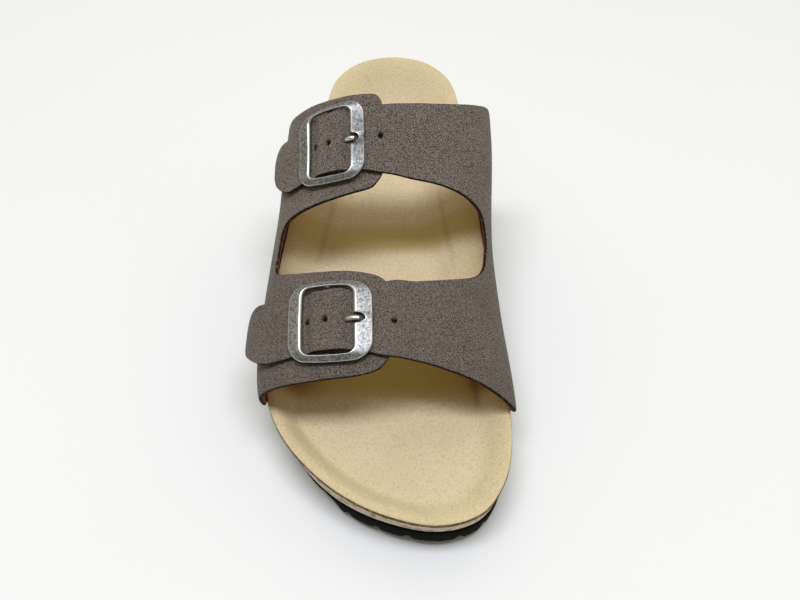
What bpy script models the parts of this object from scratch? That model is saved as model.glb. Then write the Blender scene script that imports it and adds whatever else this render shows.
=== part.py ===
"""Two-strap slide sandal for the right foot: contoured cork footbed, buckled straps, ribbed outsole.

Frame: the toe points to -Y, the big-toe (medial) side to +X, up is +Z and the floor is z = 0.
Sizes are in millimetres. A station is a distance along the sole from the back of the heel.
The upper is drawn on girths that run over the foot at each station:
0 at the lateral foot of its wall, 1 at the lateral rim of the footbed, 2 at the crest,
3 at the medial rim and 4 at the medial foot of the wall.
"""

from collections import namedtuple

import bmesh
import bpy
import numpy as np
from mathutils import Vector

METRES = 0.001
LENGTH = 272.0
GAP = 0.3

# Layers of the sole.
INSOLE_THICKNESS = 1.4
OUTSOLE_HEEL = 12.0
OUTSOLE_FOREFOOT = 9.5
THIN_FROM = 60.0
THIN_TO = 200.0
OUTSOLE_INSET_TOP = 2.2
OUTSOLE_INSET_BOTTOM = 3.0
TOE_SPRING = 5.0
SPRING_START = 195.0
HEEL_BEVEL = 1.5
HEEL_BEVEL_RUN = 12.0
SCALLOPS_PER_SIDE = 24
SCALLOP_DEPTH = 2.4
SCALLOP_REACH = 9.0
SCALLOP_PROFILE = (0.0, 0.0, 0.0, 0.9, 0.9)

# Metatarsal pad of the footbed.
PAD_STATION = 165.0
PAD_HEIGHT = 2.0
PAD_LENGTH = 20.0
PAD_WIDTH = 15.0

# Straps.
LEATHER = 2.0
RIM_CLEARANCE = 0.6
UPPER_FOOT_GAP = 1.2
WALL_EASE = 0.5
WALL_RINGS = (0.4, 0.7, 1.0)
STRAP_OVER_TAB = LEATHER + 0.6
STRAP_OVER_BAR = 4.8
TAB_STEP_START = 2.0
TAB_STEP_END = 2.13
BAR_HUMP_FLAT = 4.8
BAR_HUMP_END = 9.0
TAIL_RISE = 0.3

# Buckles, in a plane laid on the strap: "along" follows the strap, "across" its width.
FRAME_HALF = 17.0
SIDE_HALF = 15.9
SIDE_BOW = 1.5
FRAME_CORNER = 7.0
END_BAR = 6.6
SIDE_BAR = 2.8
INNER_CORNER = 3.0
FRAME_THICKNESS = 2.1
END_BAR_BASE = 5.2
SIDE_BAR_BASE = 4.8
SIDE_BAR_REACH = 2.0
END_BAR_REACH = 10.0
BAR_HALF_WIDTH = 1.5
BAR_BASE = 2.7
BAR_TOP = 4.3
BAR_END_RISE = 1.9
BAR_ACROSS = (0.0, 6.5, 13.2, 14.5, SIDE_HALF + SIDE_BOW - SIDE_BAR / 2)
NOTCH_DEPTH = 3.0
NOTCH_HALF = 2.6
PRONG_RADIUS = 1.0
PRONG_HOLE_RADIUS = 1.4
CHAMFER = 0.7

# How finely the solids are divided.
SOLE_RINGS = 36
SOLE_COLUMNS = 12
CORK_BASE_COLUMNS = 4
SHEET_STEP = 7.0
SHEET_STEP_AT_BUCKLE = 3.4
BUCKLE_GIRTHS = (1.45, 2.15)
GIRTH_UNIT = 95.0
SHEET_COLUMNS = 5
CORNER_STEPS = 5
SIDE_STEPS = 11
SIDE_CROWDING = 1.8
PRONG_RINGS = 13
PRONG_SIDES = 10

RimPoint = namedtuple("RimPoint", "x station")
HEEL_BACK = RimPoint(0, 0)
TOE_TIP = RimPoint(20, 271.6)
LATERAL_RIM = (
    RimPoint(-18.5, 5),
    RimPoint(-30.2, 18),
    RimPoint(-35, 37),
    RimPoint(-38.6, 62),
    RimPoint(-44.5, 95),
    RimPoint(-49.3, 124),
    RimPoint(-52.6, 152),
    RimPoint(-54.4, 182),
    RimPoint(-54.2, 204),
    RimPoint(-51.5, 220),
    RimPoint(-42.5, 236.8),
    RimPoint(-24, 255.5),
    RimPoint(-3, 267),
)
MEDIAL_RIM = (
    RimPoint(37, 266.3),
    RimPoint(46, 254.3),
    RimPoint(50.2, 240),
    RimPoint(51, 220),
    RimPoint(49.6, 200),
    RimPoint(47, 178),
    RimPoint(44, 150),
    RimPoint(41.5, 122),
    RimPoint(38.8, 95),
    RimPoint(36.2, 62),
    RimPoint(35, 37),
    RimPoint(30.2, 18),
    RimPoint(18.5, 5),
)

# Heights of the rim and of the seat, and the width over which the rim rolls down to the seat.
FootbedRow = namedtuple("FootbedRow", "station lateral_rim medial_rim seat lateral_roll medial_roll")
FOOTBED = (
    FootbedRow(0, 40.0, 40.0, 25.5, 30, 30),
    FootbedRow(40, 38.5, 39.0, 25.0, 28, 28),
    FootbedRow(75, 38.5, 42.0, 26.5, 25, 29),
    FootbedRow(105, 38.5, 43.5, 27.0, 23, 30),
    FootbedRow(150, 34.5, 38.5, 25.5, 19, 25),
    FootbedRow(190, 29.5, 29.5, 20.5, 15, 17),
    FootbedRow(220, 27.0, 27.0, 19.5, 14, 14),
    FootbedRow(245, 26.0, 26.0, 19.5, 14, 13),
    FootbedRow(272, 25.0, 25.0, 19.5, 14, 14),
)

# How far the cork wall leans in from the rim down to the outsole: more where the upper tucks in.
WallRow = namedtuple("WallRow", "station inset")
CORK_WALL = (
    WallRow(0, 2.8),
    WallRow(55, 2.8),
    WallRow(82, 4.4),
    WallRow(224, 4.4),
    WallRow(245, 2.8),
    WallRow(272, 2.8),
)

# Arch of the upper over the foot: crest, then on each side how far the arch leans out,
# how high it rises steeply and how far it runs level before the crest.
ArchRow = namedtuple(
    "ArchRow",
    "station crest_x crest_z lateral_lean lateral_rise lateral_run medial_lean medial_rise medial_run",
)
ARCH = (
    ArchRow(70, -2, 122, 11, 52, 26, 19, 55, 26),
    ArchRow(90, -2, 113, 11, 48, 26, 18, 50, 28),
    ArchRow(110, -2, 99, 7, 42, 28, 14, 42, 30),
    ArchRow(130, -1, 82, 2, 34, 32, 7, 32, 30),
    ArchRow(150, 0, 74, 0, 30, 36, 1, 25, 28),
    ArchRow(175, 1, 69, 1, 27, 38, -1, 21, 26),
    ArchRow(200, 2, 64, 4, 24, 38, -1, 17, 24),
    ArchRow(225, 2, 56, 7, 20, 36, -1, 12, 22),
)

# Each half of the upper is one cut: two straps joined by a band along the sole. Its rows run from
# the end of the front strap, down to the sole, back along it and up to the end of the rear strap.
# "outer" is the cut's long edge, "inner" the edge of the window between the straps.
CutRow = namedtuple("CutRow", "outer_girth outer_station inner_girth inner_station")
MEDIAL_FRONT_STRAP = (
    CutRow(1.18, 198.5, 1.18, 191.5),
    CutRow(1.19, 201.4, 1.19, 188.4),
    CutRow(1.215, 203.8, 1.215, 186.0),
    CutRow(1.25, 206.4, 1.25, 184.6),
    CutRow(1.3, 209.2, 1.3, 184.2),
    CutRow(1.35, 211.4, 1.35, 184.9),
    CutRow(1.41, 212.6, 1.41, 186.0),
    CutRow(1.5, 212.9, 1.5, 187.2),
    CutRow(1.62, 212.8, 1.62, 188.5),
    CutRow(1.74, 212.7, 1.74, 188.6),
    CutRow(1.86, 213.0, 1.86, 187.8),
    CutRow(1.98, 215.6, 1.98, 184.4),
    CutRow(2.14, 216.5, 2.13, 182.7),
    CutRow(2.31, 218.0, 2.27, 180.3),
    CutRow(2.51, 219.5, 2.4, 177.2),
    CutRow(2.68, 221.0, 2.51, 173.9),
    CutRow(2.83, 222.0, 2.595, 169.9),
    CutRow(3.0, 220.9, 2.65, 165.6),
    CutRow(3.5, 214.8, 2.68, 161.6),
    CutRow(4.0, 209.0, 2.697, 158.0),
)
MEDIAL_BAND = (
    CutRow(4.0, 209.0, 2.697, 158.0),
    CutRow(4.0, 190.0, 2.704, 156.2),
    CutRow(4.0, 170.0, 2.709, 154.4),
    CutRow(4.0, 150.0, 2.711, 152.6),
    CutRow(4.0, 127.0, 2.71, 150.8),
    CutRow(4.0, 106.0, 2.704, 148.8),
    CutRow(4.0, 86.0, 2.693, 146.7),
)
MEDIAL_REAR_STRAP = (
    CutRow(4.0, 86.0, 2.693, 146.7),
    CutRow(3.5, 85.5, 2.672, 144.2),
    CutRow(3.0, 85.5, 2.64, 141.8),
    CutRow(2.85, 87.0, 2.595, 140.2),
    CutRow(2.69, 92.0, 2.53, 139.0),
    CutRow(2.54, 99.5, 2.46, 137.8),
    CutRow(2.4, 103.8, 2.37, 136.8),
    CutRow(2.27, 107.0, 2.25, 135.7),
    CutRow(2.14, 109.0, 2.13, 134.8),
    CutRow(1.98, 109.8, 1.98, 133.2),
    CutRow(1.86, 111.0, 1.86, 131.4),
    CutRow(1.7, 111.9, 1.7, 131.9),
    CutRow(1.56, 112.3, 1.56, 132.7),
    CutRow(1.5, 112.2, 1.5, 133.2),
    CutRow(1.44, 111.2, 1.44, 133.2),
    CutRow(1.395, 110.2, 1.395, 132.0),
    CutRow(1.355, 109.5, 1.355, 129.8),
    CutRow(1.32, 109.7, 1.32, 127.0),
    CutRow(1.295, 111.0, 1.295, 124.2),
    CutRow(1.28, 113.0, 1.28, 121.5),
    CutRow(1.272, 115.2, 1.272, 119.2),
)
LATERAL_FRONT_TAB = (
    CutRow(1.985, 210.5, 1.985, 189.0),
    CutRow(1.978, 215.0, 1.978, 184.6),
    CutRow(1.96, 218.0, 1.96, 182.0),
    CutRow(1.925, 220.6, 1.925, 179.9),
    CutRow(1.84, 222.4, 1.83, 177.7),
    CutRow(1.71, 222.8, 1.7, 176.6),
    CutRow(1.59, 222.8, 1.58, 175.2),
    CutRow(1.46, 222.2, 1.48, 173.2),
    CutRow(1.31, 221.2, 1.4, 171.0),
    CutRow(1.15, 219.3, 1.345, 168.6),
    CutRow(1.0, 217.3, 1.318, 165.8),
    CutRow(0.5, 211.0, 1.313, 163.3),
    CutRow(0.0, 205.0, 1.314, 160.8),
)
LATERAL_BAND = (
    CutRow(0.0, 205.0, 1.314, 160.8),
    CutRow(0.0, 186.0, 1.316, 158.4),
    CutRow(0.0, 167.0, 1.318, 156.0),
    CutRow(0.0, 148.0, 1.32, 153.6),
    CutRow(0.0, 128.0, 1.324, 151.2),
    CutRow(0.0, 108.0, 1.332, 148.9),
    CutRow(0.0, 90.0, 1.346, 146.8),
)
LATERAL_REAR_TAB = (
    CutRow(0.0, 90.0, 1.346, 146.8),
    CutRow(0.5, 89.5, 1.368, 145.5),
    CutRow(1.0, 89.5, 1.405, 144.6),
    CutRow(1.2, 92.5, 1.455, 144.3),
    CutRow(1.35, 97.0, 1.52, 143.9),
    CutRow(1.46, 100.5, 1.58, 143.5),
    CutRow(1.58, 102.8, 1.65, 142.9),
    CutRow(1.7, 104.3, 1.73, 142.0),
    CutRow(1.82, 105.0, 1.83, 140.4),
    CutRow(1.925, 105.6, 1.915, 138.6),
    CutRow(1.955, 106.4, 1.945, 136.2),
    CutRow(1.975, 108.3, 1.968, 133.2),
    CutRow(1.985, 112.0, 1.982, 129.0),
)

# Where each buckle sits: girth and station of its centre, how much girth and how many stations one
# millimetre along and across the strap takes, how much more stations that is further to the toe, how
# far the strap turns off its station for each millimetre along, and the girth at which the strap's
# free end begins to stand off.
BuckleSeat = namedtuple(
    "BuckleSeat", "name girth station girth_per_mm stations_per_mm bend slant tail_girth tail_lift"
)
FRONT_BUCKLE = BuckleSeat("front", 1.736, 200.3, 0.01088, 0.965, 0.0, 0.05, 1.50, 3.0)
REAR_BUCKLE = BuckleSeat("rear", 1.7125, 120.0, 0.0106, 0.82, 0.0066, -0.02, 1.48, 2.6)

# Side view of a prong: along the strap from the centre bar, and above the foot's surface.
ProngPoint = namedtuple("ProngPoint", "along above")
PRONG = (
    ProngPoint(1.9, 3.45),
    ProngPoint(5.4, 3.5),
    ProngPoint(7.0, 4.2),
    ProngPoint(8.7, 5.5),
    ProngPoint(10.1, 6.2),
    ProngPoint(11.4, 6.4),
    ProngPoint(12.6, 6.2),
)

# Colour (linear RGB), roughness and metallic value of each material.
Finish = namedtuple("Finish", "colour roughness metallic")
FINISHES = {
    "outsole": Finish((0.006, 0.006, 0.005), 0.6, 0.0),
    "cork": Finish((0.36, 0.29, 0.20), 0.85, 0.0),
    "suede": Finish((0.60, 0.50, 0.32), 0.9, 0.0),
    "nubuck": Finish((0.13, 0.11, 0.09), 0.85, 0.0),
    "pewter": Finish((0.45, 0.45, 0.44), 0.38, 1.0),
}


def column(rows, name):
    """One named column of a table as an array."""
    return np.array([getattr(row, name) for row in rows], float)


def curve(rows, name, station):
    """Smooth cubic through a table's column, held level past its ends."""
    return smooth(column(rows, "station"), column(rows, name), station)


def smooth(knots, values, at):
    """Cubic with each knot's slope taken from its neighbours."""
    at = np.clip(np.asarray(at, float), knots[0], knots[-1])
    slopes = np.gradient(values, knots)
    i = np.clip(np.searchsorted(knots, at, side="right") - 1, 0, len(knots) - 2)
    step = knots[i + 1] - knots[i]
    u = (at - knots[i]) / step
    start = (1 + 2 * u) * (1 - u) ** 2 * values[i] + u * (1 - u) ** 2 * step * slopes[i]
    end = u**2 * (3 - 2 * u) * values[i + 1] - u**2 * (1 - u) * step * slopes[i + 1]
    return start + end


def ease(value, start, end):
    """0 before start, 1 past end, with a soft rise between."""
    u = np.clip((np.asarray(value, float) - start) / (end - start), 0.0, 1.0)
    return u * u * (3 - 2 * u)


def closed_curve(points, per_span=24):
    """Closed curve through the points, with knots spaced by the root of each chord."""
    ring = np.vstack([points[-1:], points, points[:2]])
    chords = np.sqrt(np.linalg.norm(np.diff(ring, axis=0), axis=1))
    knots = np.concatenate([[0.0], np.cumsum(chords)])
    fine = [np.linspace(a, b, per_span, endpoint=False) for a, b in zip(knots[1:-2], knots[2:-1])]
    fine = np.concatenate(fine)
    return np.column_stack([smooth(knots, ring[:, 0], fine), smooth(knots, ring[:, 1], fine)])


class Plan:
    """Outline of the sole seen from above, shrunk by an inset that may vary along the sole."""

    def __init__(self, inset=0.0):
        points = [HEEL_BACK, *LATERAL_RIM, TOE_TIP, *MEDIAL_RIM]
        loop = closed_curve(np.array(points, float))
        ahead = np.roll(loop, -1, axis=0) - np.roll(loop, 1, axis=0)
        inward = np.column_stack([ahead[:, 1], -ahead[:, 0]])
        inward /= np.linalg.norm(inward, axis=1, keepdims=True)
        if inset:
            depth = inset(loop[:, 1]) if callable(inset) else np.full(len(loop), inset)
            loop = loop + inward * depth[:, None]
        loop = np.roll(loop, -int(np.argmin(loop[:, 1])), axis=0)
        tip = int(np.argmax(loop[:, 1]))
        self.loop = loop
        self.tip = tip
        self.lateral = loop[: tip + 1]
        self.medial = np.vstack([loop[tip:], loop[:1]])[::-1]
        self.start = loop[0, 1]
        self.end = loop[tip, 1]

    def sides(self, station):
        """x of the lateral and of the medial edge at each station."""
        lateral = np.interp(station, self.lateral[:, 1], self.lateral[:, 0])
        medial = np.interp(station, self.medial[:, 1], self.medial[:, 0])
        return lateral, medial

    def stations(self, count):
        """Stations from heel to toe, closer together at both ends."""
        turn = np.linspace(0.0, np.pi, count + 1)
        return self.start + (self.end - self.start) * (1 - np.cos(turn)) / 2

    def grid(self, rings, columns):
        """x and station of a grid of crossings, closer together at both edges."""
        station = self.stations(rings)[:, None]
        lateral, medial = self.sides(station)
        share = (1 - np.cos(np.linspace(0.0, np.pi, columns))) / 2
        return lateral + (medial - lateral) * share, np.broadcast_to(station, (rings + 1, columns))

    def perimeter(self, per_side):
        """Points at even distances: heel to toe on the lateral side, then back on the medial."""
        halves = [even_steps(half, per_side) for half in (self.lateral, self.medial)]
        return np.vstack([halves[0], halves[1][-2:0:-1]])


def even_steps(line, count):
    """The line's points at even distances along it."""
    run = np.concatenate([[0.0], np.cumsum(np.linalg.norm(np.diff(line, axis=0), axis=1))])
    at = np.linspace(0.0, run[-1], count + 1)
    return np.column_stack([np.interp(at, run, line[:, 0]), np.interp(at, run, line[:, 1])])


RIM = Plan()


def place(x, station, height):
    """Points of the object's frame, in millimetres."""
    x, station, height = np.broadcast_arrays(x, station, height)
    return np.stack([x, LENGTH / 2 - station, height], axis=-1)


def cork_inset(station):
    """How far the foot of the cork wall lies inside the rim."""
    return curve(CORK_WALL, "inset", station)


def ground(station):
    """Height of the outsole's underside: level, with the toe spring and a bevel at the heel."""
    toe = TOE_SPRING * (np.maximum(station - SPRING_START, 0) / (LENGTH - SPRING_START)) ** 2
    heel = HEEL_BEVEL * (np.maximum(HEEL_BEVEL_RUN - station, 0) / HEEL_BEVEL_RUN) ** 2
    return toe + heel


def outsole_top(station):
    """Height of the outsole's upper face, thicker under the heel."""
    thick = OUTSOLE_HEEL + (OUTSOLE_FOREFOOT - OUTSOLE_HEEL) * ease(station, THIN_FROM, THIN_TO)
    spring = TOE_SPRING * (np.maximum(station - SPRING_START, 0) / (LENGTH - SPRING_START)) ** 2
    return thick + spring


def footbed_height(x, station):
    """Top of the footbed: the seat, raised towards the nearest point of the rim, and the pad."""
    rim = RIM.loop
    lateral = np.arange(len(rim)) <= RIM.tip
    height = np.where(
        lateral, curve(FOOTBED, "lateral_rim", rim[:, 1]), curve(FOOTBED, "medial_rim", rim[:, 1])
    )
    roll = np.where(
        lateral, curve(FOOTBED, "lateral_roll", rim[:, 1]), curve(FOOTBED, "medial_roll", rim[:, 1])
    )
    away = np.hypot(x[..., None] - rim[:, 0], station[..., None] - rim[:, 1])
    nearest = np.argmin(away, axis=-1)
    distance = np.take_along_axis(away, nearest[..., None], axis=-1)[..., 0]
    climb = 1 - ease(distance, 0.0, roll[nearest])
    seat = curve(FOOTBED, "seat", station)
    pad = PAD_HEIGHT * np.exp(-(((station - PAD_STATION) / PAD_LENGTH) ** 2) - (x / PAD_WIDTH) ** 2)
    return seat + pad + (height[nearest] - seat) * climb


def bezier(a, b, c, d, u):
    """Cubic Bezier from a to d."""
    return (1 - u) ** 3 * a + 3 * u * (1 - u) ** 2 * b + 3 * u**2 * (1 - u) * c + u**3 * d


def upper_point(station, girth):
    """Inside of the upper: walls that curve out to the rim, and an arch over the foot."""
    row = {name: curve(ARCH, name, station) for name in ArchRow._fields[1:]}
    lateral, medial = RIM.sides(station)
    lateral = lateral - RIM_CLEARANCE
    medial = medial + RIM_CLEARANCE
    lateral_rim = curve(FOOTBED, "lateral_rim", station)
    medial_rim = curve(FOOTBED, "medial_rim", station)
    foot = outsole_top(station) + UPPER_FOOT_GAP
    tuck = cork_inset(station) - WALL_EASE
    crest_x, crest_z = row["crest_x"], row["crest_z"]
    rise_l, rise_m = lateral_rim + row["lateral_rise"], medial_rim + row["medial_rise"]
    over_l, over_m = np.clip(girth - 1, 0, 1), np.clip(3 - girth, 0, 1)
    down_l, down_m = np.clip(1 - girth, 0, 1), np.clip(girth - 3, 0, 1)
    lean_l, run_l = lateral - row["lateral_lean"], crest_x - row["lateral_run"]
    lean_m, run_m = medial + row["medial_lean"], crest_x + row["medial_run"]
    x_l = bezier(lateral, lean_l, run_l, crest_x, over_l) + tuck * down_l**2
    z_l = bezier(lateral_rim, rise_l, crest_z, crest_z, over_l) + (foot - lateral_rim) * down_l
    x_m = bezier(medial, lean_m, run_m, crest_x, over_m) - tuck * down_m**2
    z_m = bezier(medial_rim, rise_m, crest_z, crest_z, over_m) + (foot - medial_rim) * down_m
    on_medial = np.asarray(girth) > 2
    return place(np.where(on_medial, x_m, x_l), station, np.where(on_medial, z_m, z_l))


def upper_surface(station, girth, above=0.0):
    """Point of the foot's surface under the straps, moved outwards by "above"."""
    station, girth, above = np.broadcast_arrays(station, girth, above)
    step_s, step_g = 0.5, 0.02
    low, high = np.clip(girth - step_g, 0, 4), np.clip(girth + step_g, 0, 4)
    along = upper_point(station + step_s, girth) - upper_point(station - step_s, girth)
    around = upper_point(station, high) - upper_point(station, low)
    normal = np.cross(along, around)
    normal /= np.linalg.norm(normal, axis=-1, keepdims=True)
    return upper_point(station, girth) + normal * above[..., None]


def on_strap(seat, along, across, above):
    """Point of a buckle: along and across the strap from the buckle's centre, and above the foot."""
    along, across = np.asarray(along, float), np.asarray(across, float)
    girth = seat.girth + seat.girth_per_mm * along
    station = seat.station + (seat.stations_per_mm + seat.bend * across) * across + seat.slant * along
    return upper_surface(station, girth, above)


def strap_lift(seat, girth):
    """How far the strap's inside stands off the foot: over the tab, the centre bar and the end."""
    along = np.abs(girth - seat.girth) / seat.girth_per_mm
    over_tab = STRAP_OVER_TAB * (1 - ease(girth, TAB_STEP_START, TAB_STEP_END))
    over_bar = (STRAP_OVER_BAR - STRAP_OVER_TAB) * (1 - ease(along, BAR_HUMP_FLAT, BAR_HUMP_END))
    loose_end = seat.tail_lift * (1 - ease(girth, seat.tail_girth - TAIL_RISE, seat.tail_girth))
    return over_tab + over_bar + loose_end


def rows_between(table):
    """A cut's rows, with further rows on a smooth line between them, closer near the buckles."""
    knots = np.arange(len(table), dtype=float)
    fine = [0.0]
    for i, (row, after) in enumerate(zip(table, table[1:])):
        outer = np.hypot(
            (after.outer_girth - row.outer_girth) * GIRTH_UNIT, after.outer_station - row.outer_station
        )
        inner = np.hypot(
            (after.inner_girth - row.inner_girth) * GIRTH_UNIT, after.inner_station - row.inner_station
        )
        middle = (row.outer_girth + after.outer_girth) / 2
        at_buckle = BUCKLE_GIRTHS[0] < middle < BUCKLE_GIRTHS[1]
        step = SHEET_STEP_AT_BUCKLE if at_buckle else SHEET_STEP
        count = int(np.ceil(max(outer, inner) / step))
        fine += [i + k / count for k in range(1, count + 1)]
    return np.column_stack([smooth(knots, column(table, name), fine) for name in CutRow._fields])


def cut_sheet(front, band, rear):
    """Girths and stations of one half of the upper, straight across each row of its table."""
    parts = [rows_between(table) for table in (front, band, rear)]
    rows = np.vstack([parts[0], parts[1][1:], parts[2][1:]])
    share = np.linspace(0.0, 1.0, SHEET_COLUMNS)
    girth = rows[:, :1] + (rows[:, 2:3] - rows[:, :1]) * share
    station = rows[:, 1:2] + (rows[:, 3:4] - rows[:, 1:2]) * share
    return girth, station


def new_object(name, points, faces, finish, collection, smooth_shading=True):
    """A named object from points in millimetres, with its doubled points merged."""
    mesh = bpy.data.meshes.new(name)
    mesh.from_pydata((np.asarray(points) * METRES).tolist(), [], faces)
    work = bmesh.new()
    work.from_mesh(mesh)
    bmesh.ops.remove_doubles(work, verts=work.verts, dist=1e-7)
    bmesh.ops.recalc_face_normals(work, faces=work.faces)
    for face in work.faces:
        face.smooth = smooth_shading
    work.to_mesh(mesh)
    work.free()
    obj = bpy.data.objects.new(name, mesh)
    mesh.materials.append(material(finish))
    collection.objects.link(obj)
    return obj


def material(finish):
    """The Principled material of a finish, made once."""
    made = bpy.data.materials.get(finish)
    if made:
        return made
    made = bpy.data.materials.new(finish)
    made.use_nodes = True
    shader = made.node_tree.nodes["Principled BSDF"]
    values = FINISHES[finish]
    shader.inputs["Base Color"].default_value = (*values.colour, 1.0)
    shader.inputs["Roughness"].default_value = values.roughness
    shader.inputs["Metallic"].default_value = values.metallic
    return made


def loft_faces(rings, size, closed_ends, turn=None):
    """Triangles between neighbouring rings of one size, closed round, with end caps if asked for.

    Past the point "turn" the diagonals swap, so that a sheet's two sides are split alike.
    """
    faces = []
    for i in range(rings - 1):
        for j in range(size):
            a, b = i * size + j, i * size + (j + 1) % size
            c, d = b + size, a + size
            if turn is None or j < turn:
                faces += [(a, b, c), (a, c, d)]
            else:
                faces += [(a, b, d), (b, c, d)]
    if closed_ends:
        faces.append(tuple(range(size)))
        faces.append(tuple(range((rings - 1) * size, rings * size)))
    return faces


def loft(name, rings, finish, collection, closed_ends=False, turn=None):
    """Solid through an array of rings (ring, point, xyz)."""
    count, size = rings.shape[:2]
    faces = loft_faces(count, size, closed_ends, turn)
    return new_object(name, rings.reshape(-1, 3), faces, finish, collection)


def ring_loft(name, rings, finish, collection):
    """Solid through rings whose last is joined to the first, as a buckle's frame."""
    return loft(name, np.concatenate([rings, rings[:1]]), finish, collection)


def build_outsole(collection):
    """Rubber sole: a scalloped lower edge all round, a flat tread inside it."""
    per_side = SCALLOPS_PER_SIDE * len(SCALLOP_PROFILE)
    plans = [
        Plan(OUTSOLE_INSET_TOP),
        Plan(OUTSOLE_INSET_BOTTOM),
        Plan(OUTSOLE_INSET_BOTTOM + SCALLOP_REACH),
    ]
    top, edge, tread = [plan.perimeter(per_side) for plan in plans]
    pattern = np.resize(SCALLOP_PROFILE, per_side + 1)
    pattern = np.concatenate([pattern, pattern[-2:0:-1]])
    rings = np.stack(
        [
            place(top[:, 0], top[:, 1], outsole_top(top[:, 1])),
            place(edge[:, 0], edge[:, 1], ground(edge[:, 1]) + SCALLOP_DEPTH * pattern),
            place(tread[:, 0], tread[:, 1], ground(tread[:, 1])),
        ]
    )
    size = rings.shape[1]
    faces = loft_faces(3, size, False)
    for ring in (0, 2):
        faces += rungs(ring * size, size)
    return new_object("outsole", rings.reshape(-1, 3), faces, "outsole", collection, False)


def rungs(first, size):
    """Quads across a perimeter, between its lateral and its medial points."""
    half = size // 2
    faces = [(first, first + 1, first + size - 1)]
    for k in range(1, half - 1):
        faces.append((first + k, first + k + 1, first + size - k - 1, first + size - k))
    faces.append((first + half - 1, first + half, first + half + 1))
    return faces


def build_footbed(collection):
    """Cork body: the footbed's shape above, walls that curve in, the outsole's top below."""
    x, station = RIM.grid(SOLE_RINGS, SOLE_COLUMNS)
    top = place(x, station, footbed_height(x, station) - INSOLE_THICKNESS - GAP)
    lateral, medial = zip(*(cork_wall(share) for share in WALL_RINGS))
    x, station = Plan(cork_inset).grid(SOLE_RINGS, CORK_BASE_COLUMNS)
    below = place(x, station, outsole_top(station) + GAP)[:, -2:0:-1]
    rings = [top, np.stack(medial, axis=1), below, np.stack(lateral[::-1], axis=1)]
    return loft("cork_footbed", np.concatenate(rings, axis=1), "cork", collection)


def cork_wall(share):
    """Lateral and medial points of the cork wall, a share of the way down from the rim."""
    plan = Plan(lambda station: cork_inset(station) * share**2)
    station = plan.stations(SOLE_RINGS)
    foot = outsole_top(station) + GAP
    rims = np.stack([curve(FOOTBED, name, station) for name in ("lateral_rim", "medial_rim")])
    rims[:, [0, -1]] = rims[:, [0, -1]].mean(axis=0)
    sides = zip(plan.sides(station), rims)
    return [place(x, station, rim + (foot - rim) * share) for x, rim in sides]


def build_insole(collection):
    """Suede cover over the whole footbed, out to the rim."""
    x, station = RIM.grid(SOLE_RINGS, SOLE_COLUMNS)
    height = footbed_height(x, station)
    top = place(x, station, height)
    below = place(x, station, height - INSOLE_THICKNESS)
    rings = np.concatenate([top, below[:, ::-1]], axis=1)
    return loft("insole", rings, "suede", collection, turn=SOLE_COLUMNS)


def build_sheet(name, girth, station, above, collection):
    """One half of the upper: a sheet on the foot's surface, thickened outwards."""
    points = upper_surface(station, girth, above)
    rows, columns = girth.shape
    faces = []
    for i in range(rows - 1):
        for j in range(columns - 1):
            k = i * columns + j
            faces.append((k, k + 1, k + columns + 1, k + columns))
    obj = new_object(name, points.reshape(-1, 3), faces, "nubuck", collection)
    face_outwards(obj)
    thick = obj.modifiers.new("leather", "SOLIDIFY")
    thick.thickness = LEATHER * METRES
    thick.offset = 1.0
    thick.use_even_offset = True
    return obj


def face_outwards(obj):
    """Turns a sheet's faces so that they look away from the middle of the foot."""
    centre = Vector((0.0, 0.0, 0.03))
    outward = sum(face.area * face.normal.dot(face.center - centre) for face in obj.data.polygons)
    if outward < 0:
        obj.data.flip_normals()


def build_upper(parts, cutters):
    """The two halves of the upper, with the hole that each prong passes through."""
    girth, station = cut_sheet(LATERAL_FRONT_TAB, LATERAL_BAND, LATERAL_REAR_TAB)
    build_sheet("upper_lateral", girth, station, np.zeros_like(girth), parts)
    girth, station = cut_sheet(MEDIAL_FRONT_STRAP, MEDIAL_BAND, MEDIAL_REAR_STRAP)
    middle = (FRONT_BUCKLE.station + REAR_BUCKLE.station) / 2
    above = np.where(
        station > middle, strap_lift(FRONT_BUCKLE, girth), strap_lift(REAR_BUCKLE, girth)
    )
    strap = build_sheet("upper_medial", girth, station, above, parts)
    for seat in (FRONT_BUCKLE, REAR_BUCKLE):
        cutter = build_prong(f"cutter_prong_hole_{seat.name}", seat, PRONG_HOLE_RADIUS, cutters)
        cutter.hide_render = True
        cutter.display_type = "WIRE"
        hole = strap.modifiers.new(f"prong_hole_{seat.name}", "BOOLEAN")
        hole.operation = "DIFFERENCE"
        hole.solver = "EXACT"
        hole.object = cutter


def rounded_square(half_along, half_across, corner):
    """Points round a square with rounded corners and slightly bowed sides, the same number for any size."""
    turn = np.linspace(0.0, np.pi / 2, CORNER_STEPS)
    share = np.linspace(-1.0, 1.0, SIDE_STEPS)[1:-1]
    side = np.sign(share) * np.abs(share) ** SIDE_CROWDING
    points = []
    for quarter in range(4):
        along, across = (half_along, half_across) if quarter % 2 == 0 else (half_across, half_along)
        straight = [(along, v * (across - corner)) for v in side]
        arc = [
            (along - corner + corner * np.cos(t), across - corner + corner * np.sin(t)) for t in turn
        ]
        angle = quarter * np.pi / 2
        spin = np.array([[np.cos(angle), np.sin(angle)], [-np.sin(angle), np.cos(angle)]])
        points.append(np.array(straight + arc) @ spin)
    points = np.vstack(points)
    bow = SIDE_BOW * (1 - (points[:, 0] / FRAME_HALF) ** 2)
    points[:, 1] *= 1 + bow / half_across
    return points


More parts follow.
